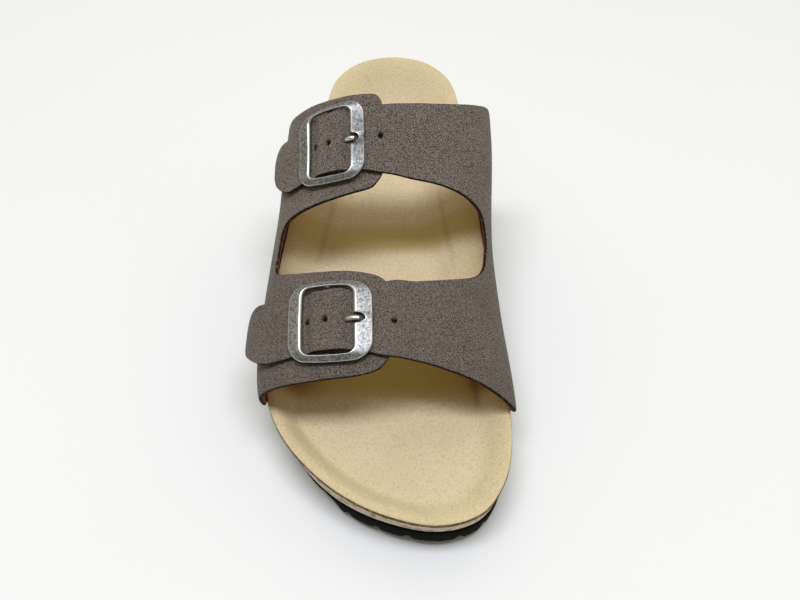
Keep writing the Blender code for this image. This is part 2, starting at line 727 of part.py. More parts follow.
def build_frame(seat, parts, cutters):
    """Arched square frame with a notch for the prong, and a centre bar whose ends rise to the side bars."""
    outer = rounded_square(FRAME_HALF, SIDE_HALF, FRAME_CORNER)
    inner = rounded_square(FRAME_HALF - END_BAR, SIDE_HALF - SIDE_BAR, INNER_CORNER)
    notch = NOTCH_DEPTH * np.clip(1 - (inner[:, 1] / NOTCH_HALF) ** 2, 0, 1) ** 0.5
    inner[:, 0] += np.where(inner[:, 0] > 0, notch, 0)
    inwards = (inner - outer) / np.linalg.norm(inner - outer, axis=1, keepdims=True)
    loops = (
        (outer, 0.0),
        (outer, FRAME_THICKNESS - CHAMFER),
        (outer + inwards * CHAMFER, FRAME_THICKNESS),
        (inner - inwards * CHAMFER, FRAME_THICKNESS),
        (inner, FRAME_THICKNESS - CHAMFER),
        (inner, 0.0),
    )
    rings = []
    for loop, up in loops:
        climb = ease(np.abs(loop[:, 0]), SIDE_BAR_REACH, END_BAR_REACH)
        base = SIDE_BAR_BASE + (END_BAR_BASE - SIDE_BAR_BASE) * climb
        rings.append(on_strap(seat, loop[:, 0], loop[:, 1], base + up))
    rings = np.stack(rings, axis=1)
    frame = ring_loft(f"buckle_{seat.name}_frame", rings, "pewter", parts)
    half = np.array(BAR_ACROSS)
    reach = np.concatenate([-half[:0:-1], half])[:, None]
    along = np.array([-1, 1, 1, -1]) * BAR_HALF_WIDTH
    rise = BAR_END_RISE * ease(np.abs(reach), BAR_ACROSS[2], BAR_ACROSS[3])
    above = np.array([BAR_BASE, BAR_BASE, BAR_TOP, BAR_TOP]) + rise
    section = on_strap(seat, *np.broadcast_arrays(along, reach, above))
    bar = loft(f"centre_bar_{seat.name}", section, "pewter", cutters, closed_ends=True)
    bar.hide_render = True
    bar.display_type = "WIRE"
    join = frame.modifiers.new("centre_bar", "BOOLEAN")
    join.operation = "UNION"
    join.solver = "EXACT"
    join.object = bar
    return frame


def build_prong(name, seat, radius, collection):
    """Round prong from the centre bar up through the strap into the frame's notch."""
    knots = np.arange(len(PRONG), dtype=float)
    fine = np.linspace(0.0, knots[-1], PRONG_RINGS)
    along = smooth(knots, column(PRONG, "along"), fine)
    above = smooth(knots, column(PRONG, "above"), fine)
    slope = np.arctan2(np.gradient(above), np.gradient(along))
    turn = np.linspace(0.0, 2 * np.pi, PRONG_SIDES, endpoint=False)
    side = radius * np.cos(turn)
    up = radius * np.sin(turn)
    rings = on_strap(
        seat,
        along[:, None] - up * np.sin(slope)[:, None],
        np.broadcast_to(side, (len(fine), len(turn))),
        above[:, None] + up * np.cos(slope)[:, None],
    )
    return loft(name, rings, "pewter", collection, closed_ends=True)


def new_collection(name):
    """A collection of the scene."""
    collection = bpy.data.collections.new(name)
    bpy.context.scene.collection.children.link(collection)
    return collection


def centre_on_floor(parts):
    """Carries every piece on one empty, so that the object's box is centred on the origin."""
    bpy.context.view_layer.update()
    graph = bpy.context.evaluated_depsgraph_get()
    corners = []
    for obj in parts.objects:
        corners += [tuple(corner) for corner in obj.evaluated_get(graph).bound_box]
    corners = np.array(corners)
    middle = (corners.min(axis=0) + corners.max(axis=0)) / 2
    carrier = bpy.data.objects.new("sandal_frame", None)
    carrier.location = (-middle[0], -middle[1], -corners[:, 2].min())
    for obj in list(parts.objects):
        obj.parent = carrier
    parts.objects.link(carrier)


def main():
    """Clears the scene and builds the sandal."""
    for obj in list(bpy.data.objects):
        bpy.data.objects.remove(obj, do_unlink=True)
    parts = new_collection("sandal")
    cutters = new_collection("cutters")
    build_outsole(parts)
    build_footbed(parts)
    build_insole(parts)
    build_upper(parts, cutters)
    for seat in (FRONT_BUCKLE, REAR_BUCKLE):
        build_frame(seat, parts, cutters)
        build_prong(f"buckle_{seat.name}_prong", seat, PRONG_RADIUS, parts)
    centre_on_floor(parts)
    for helper in cutters.objects:
        helper.parent = bpy.data.objects["sandal_frame"]


if __name__ == "__main__":
    main()
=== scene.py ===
"""Looks of a right-foot slide sandal: cork footbed, suede cover, buckled nubuck straps, notched sole.

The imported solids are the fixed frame, and each of them is replaced by a finer piece on the same sections.
Sizes are in millimetres until a mesh is made. The toe points to -Y and the big-toe (medial) side to +X.
A station is a distance along the sole from the back of the heel. A girth runs over the foot at one
station: 0 at the lateral foot of the upper's wall, 1 at the lateral rim of the footbed, 2 at the crest,
3 at the medial rim and 4 at the medial foot of the wall.
"""

import logging
import math
from dataclasses import dataclass
from enum import Enum
from typing import Any, NamedTuple, Sequence

import bmesh
import bpy
import numpy as np
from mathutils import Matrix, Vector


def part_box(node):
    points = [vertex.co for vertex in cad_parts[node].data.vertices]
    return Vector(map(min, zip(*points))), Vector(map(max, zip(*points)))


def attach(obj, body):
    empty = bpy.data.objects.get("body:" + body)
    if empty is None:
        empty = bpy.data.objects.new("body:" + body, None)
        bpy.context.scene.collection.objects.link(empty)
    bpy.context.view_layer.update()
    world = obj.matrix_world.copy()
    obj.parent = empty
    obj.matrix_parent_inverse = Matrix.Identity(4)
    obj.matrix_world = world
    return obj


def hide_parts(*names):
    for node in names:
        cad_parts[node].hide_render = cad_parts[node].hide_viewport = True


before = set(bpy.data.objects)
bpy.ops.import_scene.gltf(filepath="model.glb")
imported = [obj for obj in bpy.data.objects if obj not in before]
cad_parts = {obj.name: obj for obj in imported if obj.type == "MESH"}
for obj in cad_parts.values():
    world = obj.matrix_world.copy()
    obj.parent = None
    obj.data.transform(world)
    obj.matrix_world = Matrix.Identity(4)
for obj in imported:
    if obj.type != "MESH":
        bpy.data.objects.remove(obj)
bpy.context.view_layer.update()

LOG = logging.getLogger("sandal")
METRES = 0.001
DOUBLED = 1e-6
LENGTH = 272.0
BODY = "root"

Array = np.ndarray
Arrays = tuple[Array, Array]
Colour = tuple[float, float, float]
Pair = tuple[float, float]
Settings = dict[str, Any] | None
Inputs = dict[int | str, Any] | None


class RimPoint(NamedTuple):
    """A point of the footbed's rim seen from above."""

    x: float
    station: float


class FootbedRow(NamedTuple):
    """Heights of rim and seat at a station, and the width over which the rim rolls down."""

    station: float
    lateral_rim: float
    medial_rim: float
    seat: float
    lateral_roll: float
    medial_roll: float


class WallRow(NamedTuple):
    """How far the cork wall leans in from the rim to the outsole at a station."""

    station: float
    inset: float


class ArchRow(NamedTuple):
    """Arch of the upper at a station: its crest, and the lean, rise and run of each side."""

    station: float
    crest_x: float
    crest_z: float
    lateral_lean: float
    lateral_rise: float
    lateral_run: float
    medial_lean: float
    medial_rise: float
    medial_run: float


class CutRow(NamedTuple):
    """One line across a half of the upper, from its long edge to the edge of the window."""

    outer_girth: float
    outer_station: float
    inner_girth: float
    inner_station: float


class EdgePoint(NamedTuple):
    """A point of the cover's raw edge: inside the rim, below it, and its share of the skirt."""

    inset: float
    drop: float
    share: float


class ProngPoint(NamedTuple):
    """A point of a prong's side view: along the strap from the centre bar, and above the foot."""

    along: float
    above: float


class SectionPoint(NamedTuple):
    """A point of a buckle bar's section: from the outer (-1) to the inner side (1), its height, how worn and
    brightened by a painted highlight it is.
    """

    side: float
    up: float
    wear: float


class Band(NamedTuple):
    """A stretch of stations with soft ends, and how strong something is inside it."""

    start: float
    full: float
    fall: float
    end: float
    strength: float


class Crease(NamedTuple):
    """A soft straight line in the suede: its two ends, half its width, its depth and how dark (in the
    creases, painted shade) or, if negative, how pale it is painted.
    """

    x: float
    station: float
    end_x: float
    end_station: float
    half: float
    depth: float
    shade: float


class Fold(NamedTuple):
    """A soft ridge (or trough, if its height is negative) laid on the upper."""

    girth: float
    station: float
    turn: float
    length: float
    width: float
    height: float


def rows_of(kind: type[Any], *rows: Sequence[float]) -> tuple[Any, ...]:
    """A table: rows of numbers, each under the kind's column names."""
    return tuple(kind(*row) for row in rows)


HEEL_BACK = RimPoint(0, 0)
TOE_TIP = RimPoint(20, 271.6)
LATERAL_RIM = rows_of(
    RimPoint,
    (-18.5, 5), (-30.2, 18), (-35, 37), (-38.6, 62), (-44.5, 95), (-49.3, 124), (-52.6, 152),
    (-54.4, 182), (-54.2, 204), (-51.5, 220), (-42.5, 236.8), (-24, 255.5), (-3, 267),
)
MEDIAL_RIM = rows_of(
    RimPoint,
    (37, 266.3), (46, 254.3), (50.2, 240), (51, 220), (49.6, 200), (47, 178), (44, 150),
    (41.5, 122), (38.8, 95), (36.2, 62), (35, 37), (30.2, 18), (18.5, 5),
)
FOOTBED = rows_of(
    FootbedRow,
    (0, 40.0, 40.0, 25.5, 30, 30),
    (40, 38.5, 39.0, 25.0, 28, 28),
    (75, 38.5, 42.0, 26.5, 25, 29),
    (105, 38.5, 43.5, 27.0, 23, 30),
    (150, 34.5, 38.5, 25.5, 19, 25),
    (190, 29.5, 29.5, 20.5, 15, 17),
    (220, 27.0, 27.0, 19.5, 14, 14),
    (245, 26.0, 26.0, 19.5, 14, 13),
    (272, 25.0, 25.0, 19.5, 14, 14),
)
CORK_WALL = rows_of(
    WallRow,
    (0, 2.8), (55, 2.8), (82, 4.4), (224, 4.4), (245, 2.8), (272, 2.8),
)
ARCH = rows_of(
    ArchRow,
    (70, -2, 122, 11, 52, 26, 19, 55, 26),
    (90, -2, 113, 11, 48, 26, 18, 50, 28),
    (110, -2, 99, 7, 42, 28, 14, 42, 30),
    (130, -1, 82, 2, 34, 32, 7, 32, 30),
    (150, 0, 74, 0, 30, 36, 1, 25, 28),
    (175, 1, 69, 1, 27, 38, -1, 21, 26),
    (200, 2, 64, 4, 24, 38, -1, 17, 24),
    (225, 2, 56, 7, 20, 36, -1, 12, 22),
)
MEDIAL_CUT = (
    rows_of(
        CutRow,
        (1.18, 198.5, 1.18, 191.5), (1.19, 201.4, 1.19, 188.4), (1.215, 203.8, 1.215, 186.0),
        (1.25, 206.4, 1.25, 184.6), (1.3, 209.2, 1.3, 184.2), (1.35, 211.4, 1.35, 184.9),
        (1.41, 212.6, 1.41, 186.0), (1.5, 212.9, 1.5, 186.8), (1.62, 212.8, 1.62, 187.7),
        (1.74, 212.7, 1.74, 187.75), (1.86, 213.0, 1.86, 187.2), (1.98, 215.6, 1.98, 184.4),
        (2.14, 216.5, 2.13, 182.7), (2.31, 218.0, 2.27, 180.3), (2.51, 219.5, 2.4, 177.2),
        (2.68, 221.0, 2.51, 173.9), (2.83, 222.0, 2.595, 169.9), (3.0, 220.9, 2.65, 165.6),
        (3.5, 214.8, 2.68, 161.6), (4.0, 209.0, 2.697, 158.0),
    ),
    rows_of(
        CutRow,
        (4.0, 209.0, 2.697, 158.0), (4.0, 190.0, 2.704, 156.2), (4.0, 170.0, 2.709, 154.4),
        (4.0, 150.0, 2.711, 152.6), (4.0, 127.0, 2.71, 150.8), (4.0, 106.0, 2.704, 148.8),
        (4.0, 86.0, 2.693, 146.7),
    ),
    rows_of(
        CutRow,
        (4.0, 86.0, 2.693, 146.7), (3.5, 85.5, 2.672, 144.2), (3.0, 85.5, 2.64, 141.8),
        (2.85, 87.0, 2.595, 140.2), (2.69, 92.0, 2.53, 139.0), (2.54, 99.5, 2.46, 137.8),
        (2.4, 104.4, 2.37, 136.8), (2.27, 107.15, 2.25, 135.7), (2.14, 108.5, 2.13, 134.8),
        (1.98, 109.8, 1.98, 133.2), (1.86, 109.8, 1.86, 131.4), (1.7, 110.45, 1.7, 131.9),
        (1.56, 111.3, 1.56, 132.7), (1.5, 111.8, 1.5, 133.2), (1.44, 111.2, 1.44, 133.2),
        (1.395, 110.2, 1.395, 132.0), (1.355, 109.5, 1.355, 129.8), (1.32, 109.7, 1.32, 127.0),
        (1.295, 111.0, 1.295, 124.2), (1.28, 113.0, 1.28, 121.5), (1.272, 115.2, 1.272, 119.2),
    ),
)
LATERAL_CUT = (
    rows_of(
        CutRow,
        (1.985, 210.5, 1.985, 189.0), (1.978, 215.0, 1.978, 184.6), (1.96, 218.0, 1.96, 182.0),
        (1.925, 220.6, 1.925, 179.9), (1.84, 222.4, 1.83, 177.7), (1.71, 222.8, 1.7, 176.6),
        (1.59, 222.8, 1.58, 175.2), (1.46, 222.2, 1.48, 173.2), (1.31, 221.2, 1.4, 171.0),
        (1.15, 219.3, 1.345, 168.6), (1.0, 217.3, 1.318, 165.8), (0.5, 211.0, 1.313, 163.3),
        (0.0, 205.0, 1.314, 160.8),
    ),
    rows_of(
        CutRow,
        (0.0, 205.0, 1.314, 160.8), (0.0, 186.0, 1.316, 158.4), (0.0, 167.0, 1.318, 156.0),
        (0.0, 148.0, 1.32, 153.6), (0.0, 128.0, 1.324, 151.2), (0.0, 108.0, 1.332, 148.9),
        (0.0, 90.0, 1.346, 146.8),
    ),
    rows_of(
        CutRow,
        (0.0, 90.0, 1.346, 146.8), (0.5, 89.5, 1.368, 145.5), (1.0, 89.5, 1.405, 144.6),
        (1.2, 92.5, 1.455, 144.3), (1.35, 97.0, 1.52, 143.9), (1.46, 100.5, 1.58, 143.5),
        (1.58, 102.8, 1.65, 142.9), (1.7, 104.3, 1.73, 142.0), (1.82, 105.0, 1.83, 140.4),
        (1.925, 105.6, 1.915, 138.6), (1.955, 106.4, 1.945, 136.2), (1.975, 108.3, 1.968, 133.2),
        (1.985, 112.0, 1.982, 129.0),
    ),
)
MEDIAL_FOLDS = rows_of(
    Fold,
    (2.05, 201.0, 86.0, 11.0, 5.0, 0.25), (2.36, 198.0, 74.0, 17.0, 9.0, -0.25),
    (2.62, 196.0, 64.0, 20.0, 10.0, 0.25), (2.83, 188.0, 52.0, 18.0, 8.0, -0.25),
    (2.06, 121.0, 88.0, 9.0, 5.0, 0.25), (2.42, 119.0, 96.0, 13.0, 9.0, -0.2),
    (2.68, 112.0, 104.0, 16.0, 9.0, 0.25), (1.42, 199.0, 90.0, 10.0, 5.0, -0.2),
)
LATERAL_FOLDS = rows_of(
    Fold,
    (1.36, 197.0, 100.0, 18.0, 8.0, 0.25), (1.18, 190.0, 118.0, 16.0, 7.0, -0.25),
    (1.30, 116.0, 80.0, 14.0, 8.0, 0.25),
)
PRONG = rows_of(
    ProngPoint,
    (1.9, 3.45), (5.4, 3.5), (7.0, 4.2), (8.7, 5.5), (10.1, 6.2), (11.4, 6.4), (12.6, 6.2),
)
# The first two rows and the last one are painted shade in the arch's creases and at the foot of the medial
# rim under the front strap; the other rows darken or, where negative, pale small lines and marks.
BED_CREASES = rows_of(
    Crease,
    (-28.0, 96.0, -36.3, 144.0, 2.0, 0.45, 0.22),
    (22.0, 91.0, 29.8, 151.0, 2.0, 0.45, 0.22),
    (-12.5, 90.0, -10.3, 105.0, 1.6, 0.15, 0.08),
    (9.0, 219.5, 13.0, 215.0, 1.1, 0.08, -0.35),
    (13.0, 215.0, 23.0, 212.3, 1.1, 0.08, -0.35),
    (-0.8, 226.8, 4.5, 230.3, 1.1, 0.10, 0.16),
    (-16.0, 11.0, -11.0, 19.0, 1.4, 0.10, 0.10),
    (24.5, 26.0, 29.0, 39.0, 1.4, 0.10, 0.08),
    (35.5, 190.0, 38.6, 218.0, 2.4, 0.50, 0.45),
)
# Stations under the front and the rear strap where the suede is turned olive brown: painted shade of the
# straps' shadows.
PAINTED_STRAP_SHADOWS = rows_of(Band, (160.0, 172.0, 203.0, 213.0, 0.9), (112.0, 118.0, 127.0, 134.0, 0.6))
# Stations under the front strap where the lining's reddish reflection and shade are painted on the suede.
PAINTED_LINING_BOUNCE = Band(158.0, 184.0, 202.0, 212.0, 0.72)
COVER_EDGE = rows_of(
    EdgePoint,
    (0.06, 0.56, 0), (-0.12, 0.8, 0.3), (-0.18, 1.1, 0.6), (-0.1, 1.4, 1), (0.2, 1.6, 1), (0.25, 1.6, 0),
)
# The last column brightens the bevel crests: worn metal with a painted highlight.
SECTION = rows_of(
    SectionPoint,
    (-1.0, 0.10, 0.0), (-1.0, 0.48, 0.1), (-0.98, 0.58, 0.5), (-0.94, 0.66, 0.9),
    (-0.89, 0.71, 0.7), (-0.84, 0.735, 0.1), (-0.78, 0.75, 0.0), (-0.3, 0.84, 0.0),
    (0.2, 0.93, 0.0), (0.58, 0.98, 0.1), (0.65, 0.995, 0.6), (0.71, 1.0, 1.0),
    (0.77, 0.985, 1.0), (0.90, 0.80, 0.8), (0.96, 0.68, 0.5), (0.99, 0.55, 0.2),
    (1.0, 0.44, 0.0), (1.0, 0.10, 0.0), (0.94, 0.0, 0.0), (-0.94, 0.0, 0.0),
)


def column(rows: Sequence[Any], name: str) -> Array:
    """One named column of a table as an array."""
    return np.array([getattr(row, name) for row in rows], float)


def smooth(knots: Array, values: Array, at: Any) -> Array:
    """Cubic through the values, with each knot's slope taken from its neighbours.

    Args:
        knots: rising places of the values.
        values: the values to pass through.
        at: places to work out, held at the ends.

    Returns:
        The curve's values there.
    """
    at = np.clip(np.asarray(at, float), knots[0], knots[-1])
    slopes = np.gradient(values, knots)
    i = np.clip(np.searchsorted(knots, at, side="right") - 1, 0, len(knots) - 2)
    step = knots[i + 1] - knots[i]
    u = (at - knots[i]) / step
    start = (1 + 2 * u) * (1 - u) ** 2 * values[i] + u * (1 - u) ** 2 * step * slopes[i]
    end = u**2 * (3 - 2 * u) * values[i + 1] - u**2 * (1 - u) * step * slopes[i + 1]
    return start + end


def curve(rows: Sequence[Any], name: str, station: Any) -> Array:
    """Smooth line through one column of a table of stations."""
    return smooth(column(rows, "station"), column(rows, name), station)


def ease(value: Any, start: Any, end: Any) -> Array:
    """0 before start, 1 past end, and a soft S between."""
    u = np.clip((np.asarray(value, float) - start) / (np.asarray(end, float) - start), 0.0, 1.0)
    return u * u * (3 - 2 * u)


def bell(value: Any, half: float) -> Array:
    """1 at zero, falling softly to 0 at plus or minus half: the square of one minus a square."""
    u = np.clip(np.asarray(value, float) / half, -1.0, 1.0)
    return (1 - u * u) ** 2


def in_band(band: Band, station: Array) -> Array:
    """The band's strength inside it, falling softly to 0 at both ends."""
    return band.strength * (ease(station, band.start, band.full) * (1 - ease(station, band.fall, band.end)))


def unit(vectors: Array) -> Array:
    """The vectors scaled to length one."""
    return vectors / np.maximum(np.linalg.norm(vectors, axis=-1, keepdims=True), 1e-12)


def bezier(a: Array, b: Array, c: Array, d: Array, u: Array) -> Array:
    """Cubic Bezier from a to d."""
    return (1 - u) ** 3 * a + 3 * u * (1 - u) ** 2 * b + 3 * u**2 * (1 - u) * c + u**3 * d


def even_steps(line: Array, count: int) -> Array:
    """The line's points at even distances along it, count steps in all."""
    run = np.concatenate([[0.0], np.cumsum(np.linalg.norm(np.diff(line, axis=0), axis=1))])
    at = np.linspace(0.0, run[-1], count + 1)
    return np.column_stack([np.interp(at, run, part) for part in line.T])


def place(x: Any, station: Any, height: Any) -> Array:
    """Points of the drawing frame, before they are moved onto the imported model."""
    x, station, height = np.broadcast_arrays(x, station, height)
    return np.stack([x, LENGTH / 2 - station, height], axis=-1)


def strip_faces(rows: int, columns: int, round_rows: bool = False) -> Array:
    """Quads of a grid of points, row by row.

    Args:
        rows: number of rows.
        columns: points in a row.
        round_rows: whether the last row is joined to the first.

    Returns:
        Four point numbers for each quad.
    """
    i, j = np.meshgrid(np.arange(rows if round_rows else rows - 1), np.arange(columns - 1), indexing="ij")
    after = (i + 1) % rows
    corners = (i * columns + j, i * columns + j + 1, after * columns + j + 1, after * columns + j)
    return np.stack(corners, axis=-1).reshape(-1, 4)


@dataclass
class Rim:
    """Rim of the footbed as a closed line of evenly spread points.

    Attributes:
        per_side: steps from heel to toe on each side.
        heel_fan: station of the centre line's rear end.
        toe_fan: station of the centre line's front end.
        fan_share: share of a side's steps that fan out from each end of it.
        batch: how many places are looked up at once.
    """

    per_side: int = 300
    heel_fan: float = 40.0
    toe_fan: float = 226.0
    fan_share: float = 0.1
    batch: int = 4000

    def __post_init__(self) -> None:
        """Works out the line, its inward directions, its heights and its centre line."""
        points = np.array([HEEL_BACK, *LATERAL_RIM, TOE_TIP, *MEDIAL_RIM], float)
        self.line = self._closed(points)
        tip = int(np.argmax(self.line[:, 1]))
        self.lateral = self.line[: tip + 1]
        self.medial = np.vstack([self.line[tip:], self.line[:1]])[::-1]
        halves = [even_steps(half, self.per_side) for half in (self.lateral, self.medial)]
        self.points = np.vstack([halves[0], halves[1][-2:0:-1]])
        ahead = np.roll(self.points, -1, axis=0) - np.roll(self.points, 1, axis=0)
        self.inward = unit(np.column_stack([ahead[:, 1], -ahead[:, 0]]))
        number = np.arange(len(self.points))
        self.on_lateral = number <= self.per_side
        along = np.where(self.on_lateral, number, 2 * self.per_side - number) / self.per_side
        part = np.clip((along - self.fan_share) / (1 - 2 * self.fan_share), 0, 1)
        station = self.heel_fan + (self.toe_fan - self.heel_fan) * part
        lateral, medial = self.sides(station)
        self.centre = np.column_stack([(lateral + medial) / 2, station])
        self.height = self.rows("rim", self.points[:, 1], self.on_lateral)

    @staticmethod
    def _closed(points: Array, per_span: int = 24) -> Array:
        """Closed smooth line through the points, with knots spaced by the root of each chord."""
        ring = np.vstack([points[-1:], points, points[:2]])
        chords = np.sqrt(np.linalg.norm(np.diff(ring, axis=0), axis=1))
        knots = np.concatenate([[0.0], np.cumsum(chords)])
        spans = zip(knots[1:-2], knots[2:-1])
        fine = np.concatenate([np.linspace(a, b, per_span, endpoint=False) for a, b in spans])
        line = np.column_stack([smooth(knots, ring[:, 0], fine), smooth(knots, ring[:, 1], fine)])
        return np.roll(line, -int(np.argmin(line[:, 1])), axis=0)

    @staticmethod
    def rows(name: str, station: Array, lateral: Array) -> Array:
        """The lateral or medial column "name" of the footbed's table, whichever side a point is on."""
        sides = [curve(FOOTBED, f"{side}_{name}", station) for side in ("lateral", "medial")]
        return np.where(lateral, sides[0], sides[1])

    def sides(self, station: Any) -> Arrays:
        """x of the lateral and of the medial edge at each station."""
        lateral = np.interp(station, self.lateral[:, 1], self.lateral[:, 0])
        medial = np.interp(station, self.medial[:, 1], self.medial[:, 0])
        return lateral, medial

    def inset(self, depth: Any) -> Arrays:
        """x and station of the rim's points moved inwards by a depth for each point."""
        moved = self.points + self.inward * np.broadcast_to(depth, len(self.points))[:, None]
        return moved[:, 0], moved[:, 1]

    def inner(self, share: Array, lip: float) -> Arrays:
        """Points from the centre line (share 0) out to the rim less the lip (share 1)."""
        edge = self.points + self.inward * lip
        spread = self.centre[:, None] + (edge - self.centre)[:, None] * share[:, None]
        return spread[..., 0], spread[..., 1]

    def nearest(self, x: Array, station: Array) -> tuple[Array, Array, Array]:
        """Distance to the rim, with the rim's height and its roll width at the nearest place.

        The nearest drawn point is found first, then the nearer foot on the two chords beside it.

        Args:
            x: places across the sole.
            station: places along the sole.

        Returns:
            Distance, height and roll, each shaped like x.
        """
        line = self.line
        lateral = np.arange(len(line)) <= int(np.argmax(line[:, 1]))
        rim = self.rows("rim", line[:, 1], lateral)
        roll = self.rows("roll", line[:, 1], lateral)
        spots = np.column_stack([np.ravel(x), np.ravel(station)])
        found = []
        for part in np.array_split(spots, max(1, len(spots) // self.batch)):
            away = (part[:, :1] - line[:, 0]) ** 2 + (part[:, 1:] - line[:, 1]) ** 2
            best = np.argmin(away, axis=1)
            options = []
            for step in (-1, 1):
                other = (best + step) % len(line)
                chord = line[other] - line[best]
                share = np.sum((part - line[best]) * chord, axis=1) / np.sum(chord**2, axis=1)
                share = np.clip(share, 0.0, 1.0)
                foot = line[best] + chord * share[:, None]
                distance = np.linalg.norm(part - foot, axis=1)
                height = rim[best] + (rim[other] - rim[best]) * share
                width = roll[best] + (roll[other] - roll[best]) * share
                options.append(np.column_stack([distance, height, width]))
            nearer = options[0][:, :1] < options[1][:, :1]
            found.append(np.where(nearer, options[0], options[1]))
        return tuple(part.reshape(np.shape(x)) for part in np.vstack(found).T)


RIM = Rim()
SHIFT = np.array(
    [
        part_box("insole")[0].x / METRES - RIM.line[:, 0].min(),
        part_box("insole")[0].y / METRES - (LENGTH / 2 - RIM.line[:, 1].max()),
        0.0,
    ]
)


@dataclass(frozen=True)
class Ground:
    """Levels of the outsole: its underside and its upper face."""

    heel: float = 12.0
    forefoot: float = 9.5
    thin_from: float = 60.0
    thin_to: float = 200.0
    toe_spring: float = 5.0
    spring_start: float = 195.0
    heel_bevel: float = 1.5
    bevel_run: float = 12.0

    def spring(self, station: Array) -> Array:
        """Rise of the toe: a square from where it starts."""
        run = np.maximum(station - self.spring_start, 0) / (LENGTH - self.spring_start)
        return self.toe_spring * run**2

    def under(self, station: Array) -> Array:
        """Height of the underside: level, with the toe spring and a bevel at the heel."""
        heel = np.maximum(self.bevel_run - station, 0) / self.bevel_run
        return self.spring(station) + self.heel_bevel * heel**2

    def top(self, station: Array) -> Array:
        """Height of the upper face, thicker under the heel."""
        thin = ease(station, self.thin_from, self.thin_to)
        return self.heel + (self.forefoot - self.heel) * thin + self.spring(station)


GROUND = Ground()


@dataclass(frozen=True)
class Bed:
    """Top of the footbed: seat, rolled rim, metatarsal pad and the soft lines worn into it.

    Attributes:
        line_place: where the trough at the foot of the roll lies, as a share of the roll's width.
        taper: share of a crease's length over which each end fades.
        toe_step: how much narrower (lateral) or wider (medial) the roll is at the toe.
        shades: tone, distance from the rim and half width of the slope's painted shade and of the painted
            highlight along its foot.
    """

    pad_station: float = 165.0
    pad_height: float = 2.0
    pad_length: float = 20.0
    pad_width: float = 15.0
    line_depth: float = 0.20
    line_half: float = 3.2
    line_place: float = 0.75
    taper: float = 0.3
    toe_step: float = 2.0
    step_stations: Pair = (206.0, 222.0)
    step_x: Pair = (5.0, 35.0)
    shade_stations: Pair = (206.0, 216.0)
    shade_x: Pair = (-30.0, 5.0)
    shades: tuple[tuple[float, float, float], ...] = ((0.03, 7.0, 4.0), (-0.12, 10.8, 1.3))

    def lines(self, x: Array, station: Array) -> Arrays:
        """Depth and painted shade of the creases: each is a bell across its line, tapered to both ends.

        Args:
            x: places across the sole.
            station: places along the sole.

        Returns:
            Depth and shade, shaped like x.
        """
        depth, shade = np.zeros_like(x), np.zeros_like(x)
        for crease in BED_CREASES:
            run = np.array([crease.end_x - crease.x, crease.end_station - crease.station])
            length = float(np.linalg.norm(run))
            along = ((x - crease.x) * run[0] + (station - crease.station) * run[1]) / length
            off = ((x - crease.x) * run[1] - (station - crease.station) * run[0]) / length
            fade = self.taper * length
            mask = bell(off, crease.half) * (ease(along, 0.0, fade) * ease(length - along, 0.0, fade))
            depth, shade = depth + crease.depth * mask, shade + crease.shade * mask
        return depth, shade

    def height(self, x: Array, station: Array) -> Arrays:
        """Height of the top, and the distance to the rim.

        The seat is raised to the rim's height by an S over the roll width, which at the toe is steeper on
        the lateral side and softer on the medial one. A bell stands for the pad, and shallow troughs follow
        the foot of the roll and the creases.

        Args:
            x: places across the sole.
            station: places along the sole.

        Returns:
            Height and distance to the rim, shaped like x.
        """
        distance, rim, roll = RIM.nearest(x, station)
        seat = curve(FOOTBED, "seat", station)
        along, across = (station - self.pad_station) / self.pad_length, x / self.pad_width
        pad = self.pad_height * np.exp(-(along**2) - across**2)
        worn = self.line_depth * bell(distance - roll * self.line_place, self.line_half)
        trough = worn + self.lines(x, station)[0]
        step = self.toe_step * ease(station, *self.step_stations) * (1 - 2 * ease(x, *self.step_x))
        rolled = 1 - ease(distance, np.maximum(step, 0.0), roll - step)
        return seat + pad + (rim - seat) * rolled - trough, distance

    def rim_shade(self, x: Array, station: Array, distance: Array) -> Array:
        """Painted shade on the rim's inner slope ahead of the outer strap, with a painted highlight along
        its foot.
        """
        ahead = ease(station, *self.shade_stations) * (1 - ease(x, *self.shade_x))
        return ahead * sum(tone * bell(distance - middle, half) for tone, middle, half in self.shades)


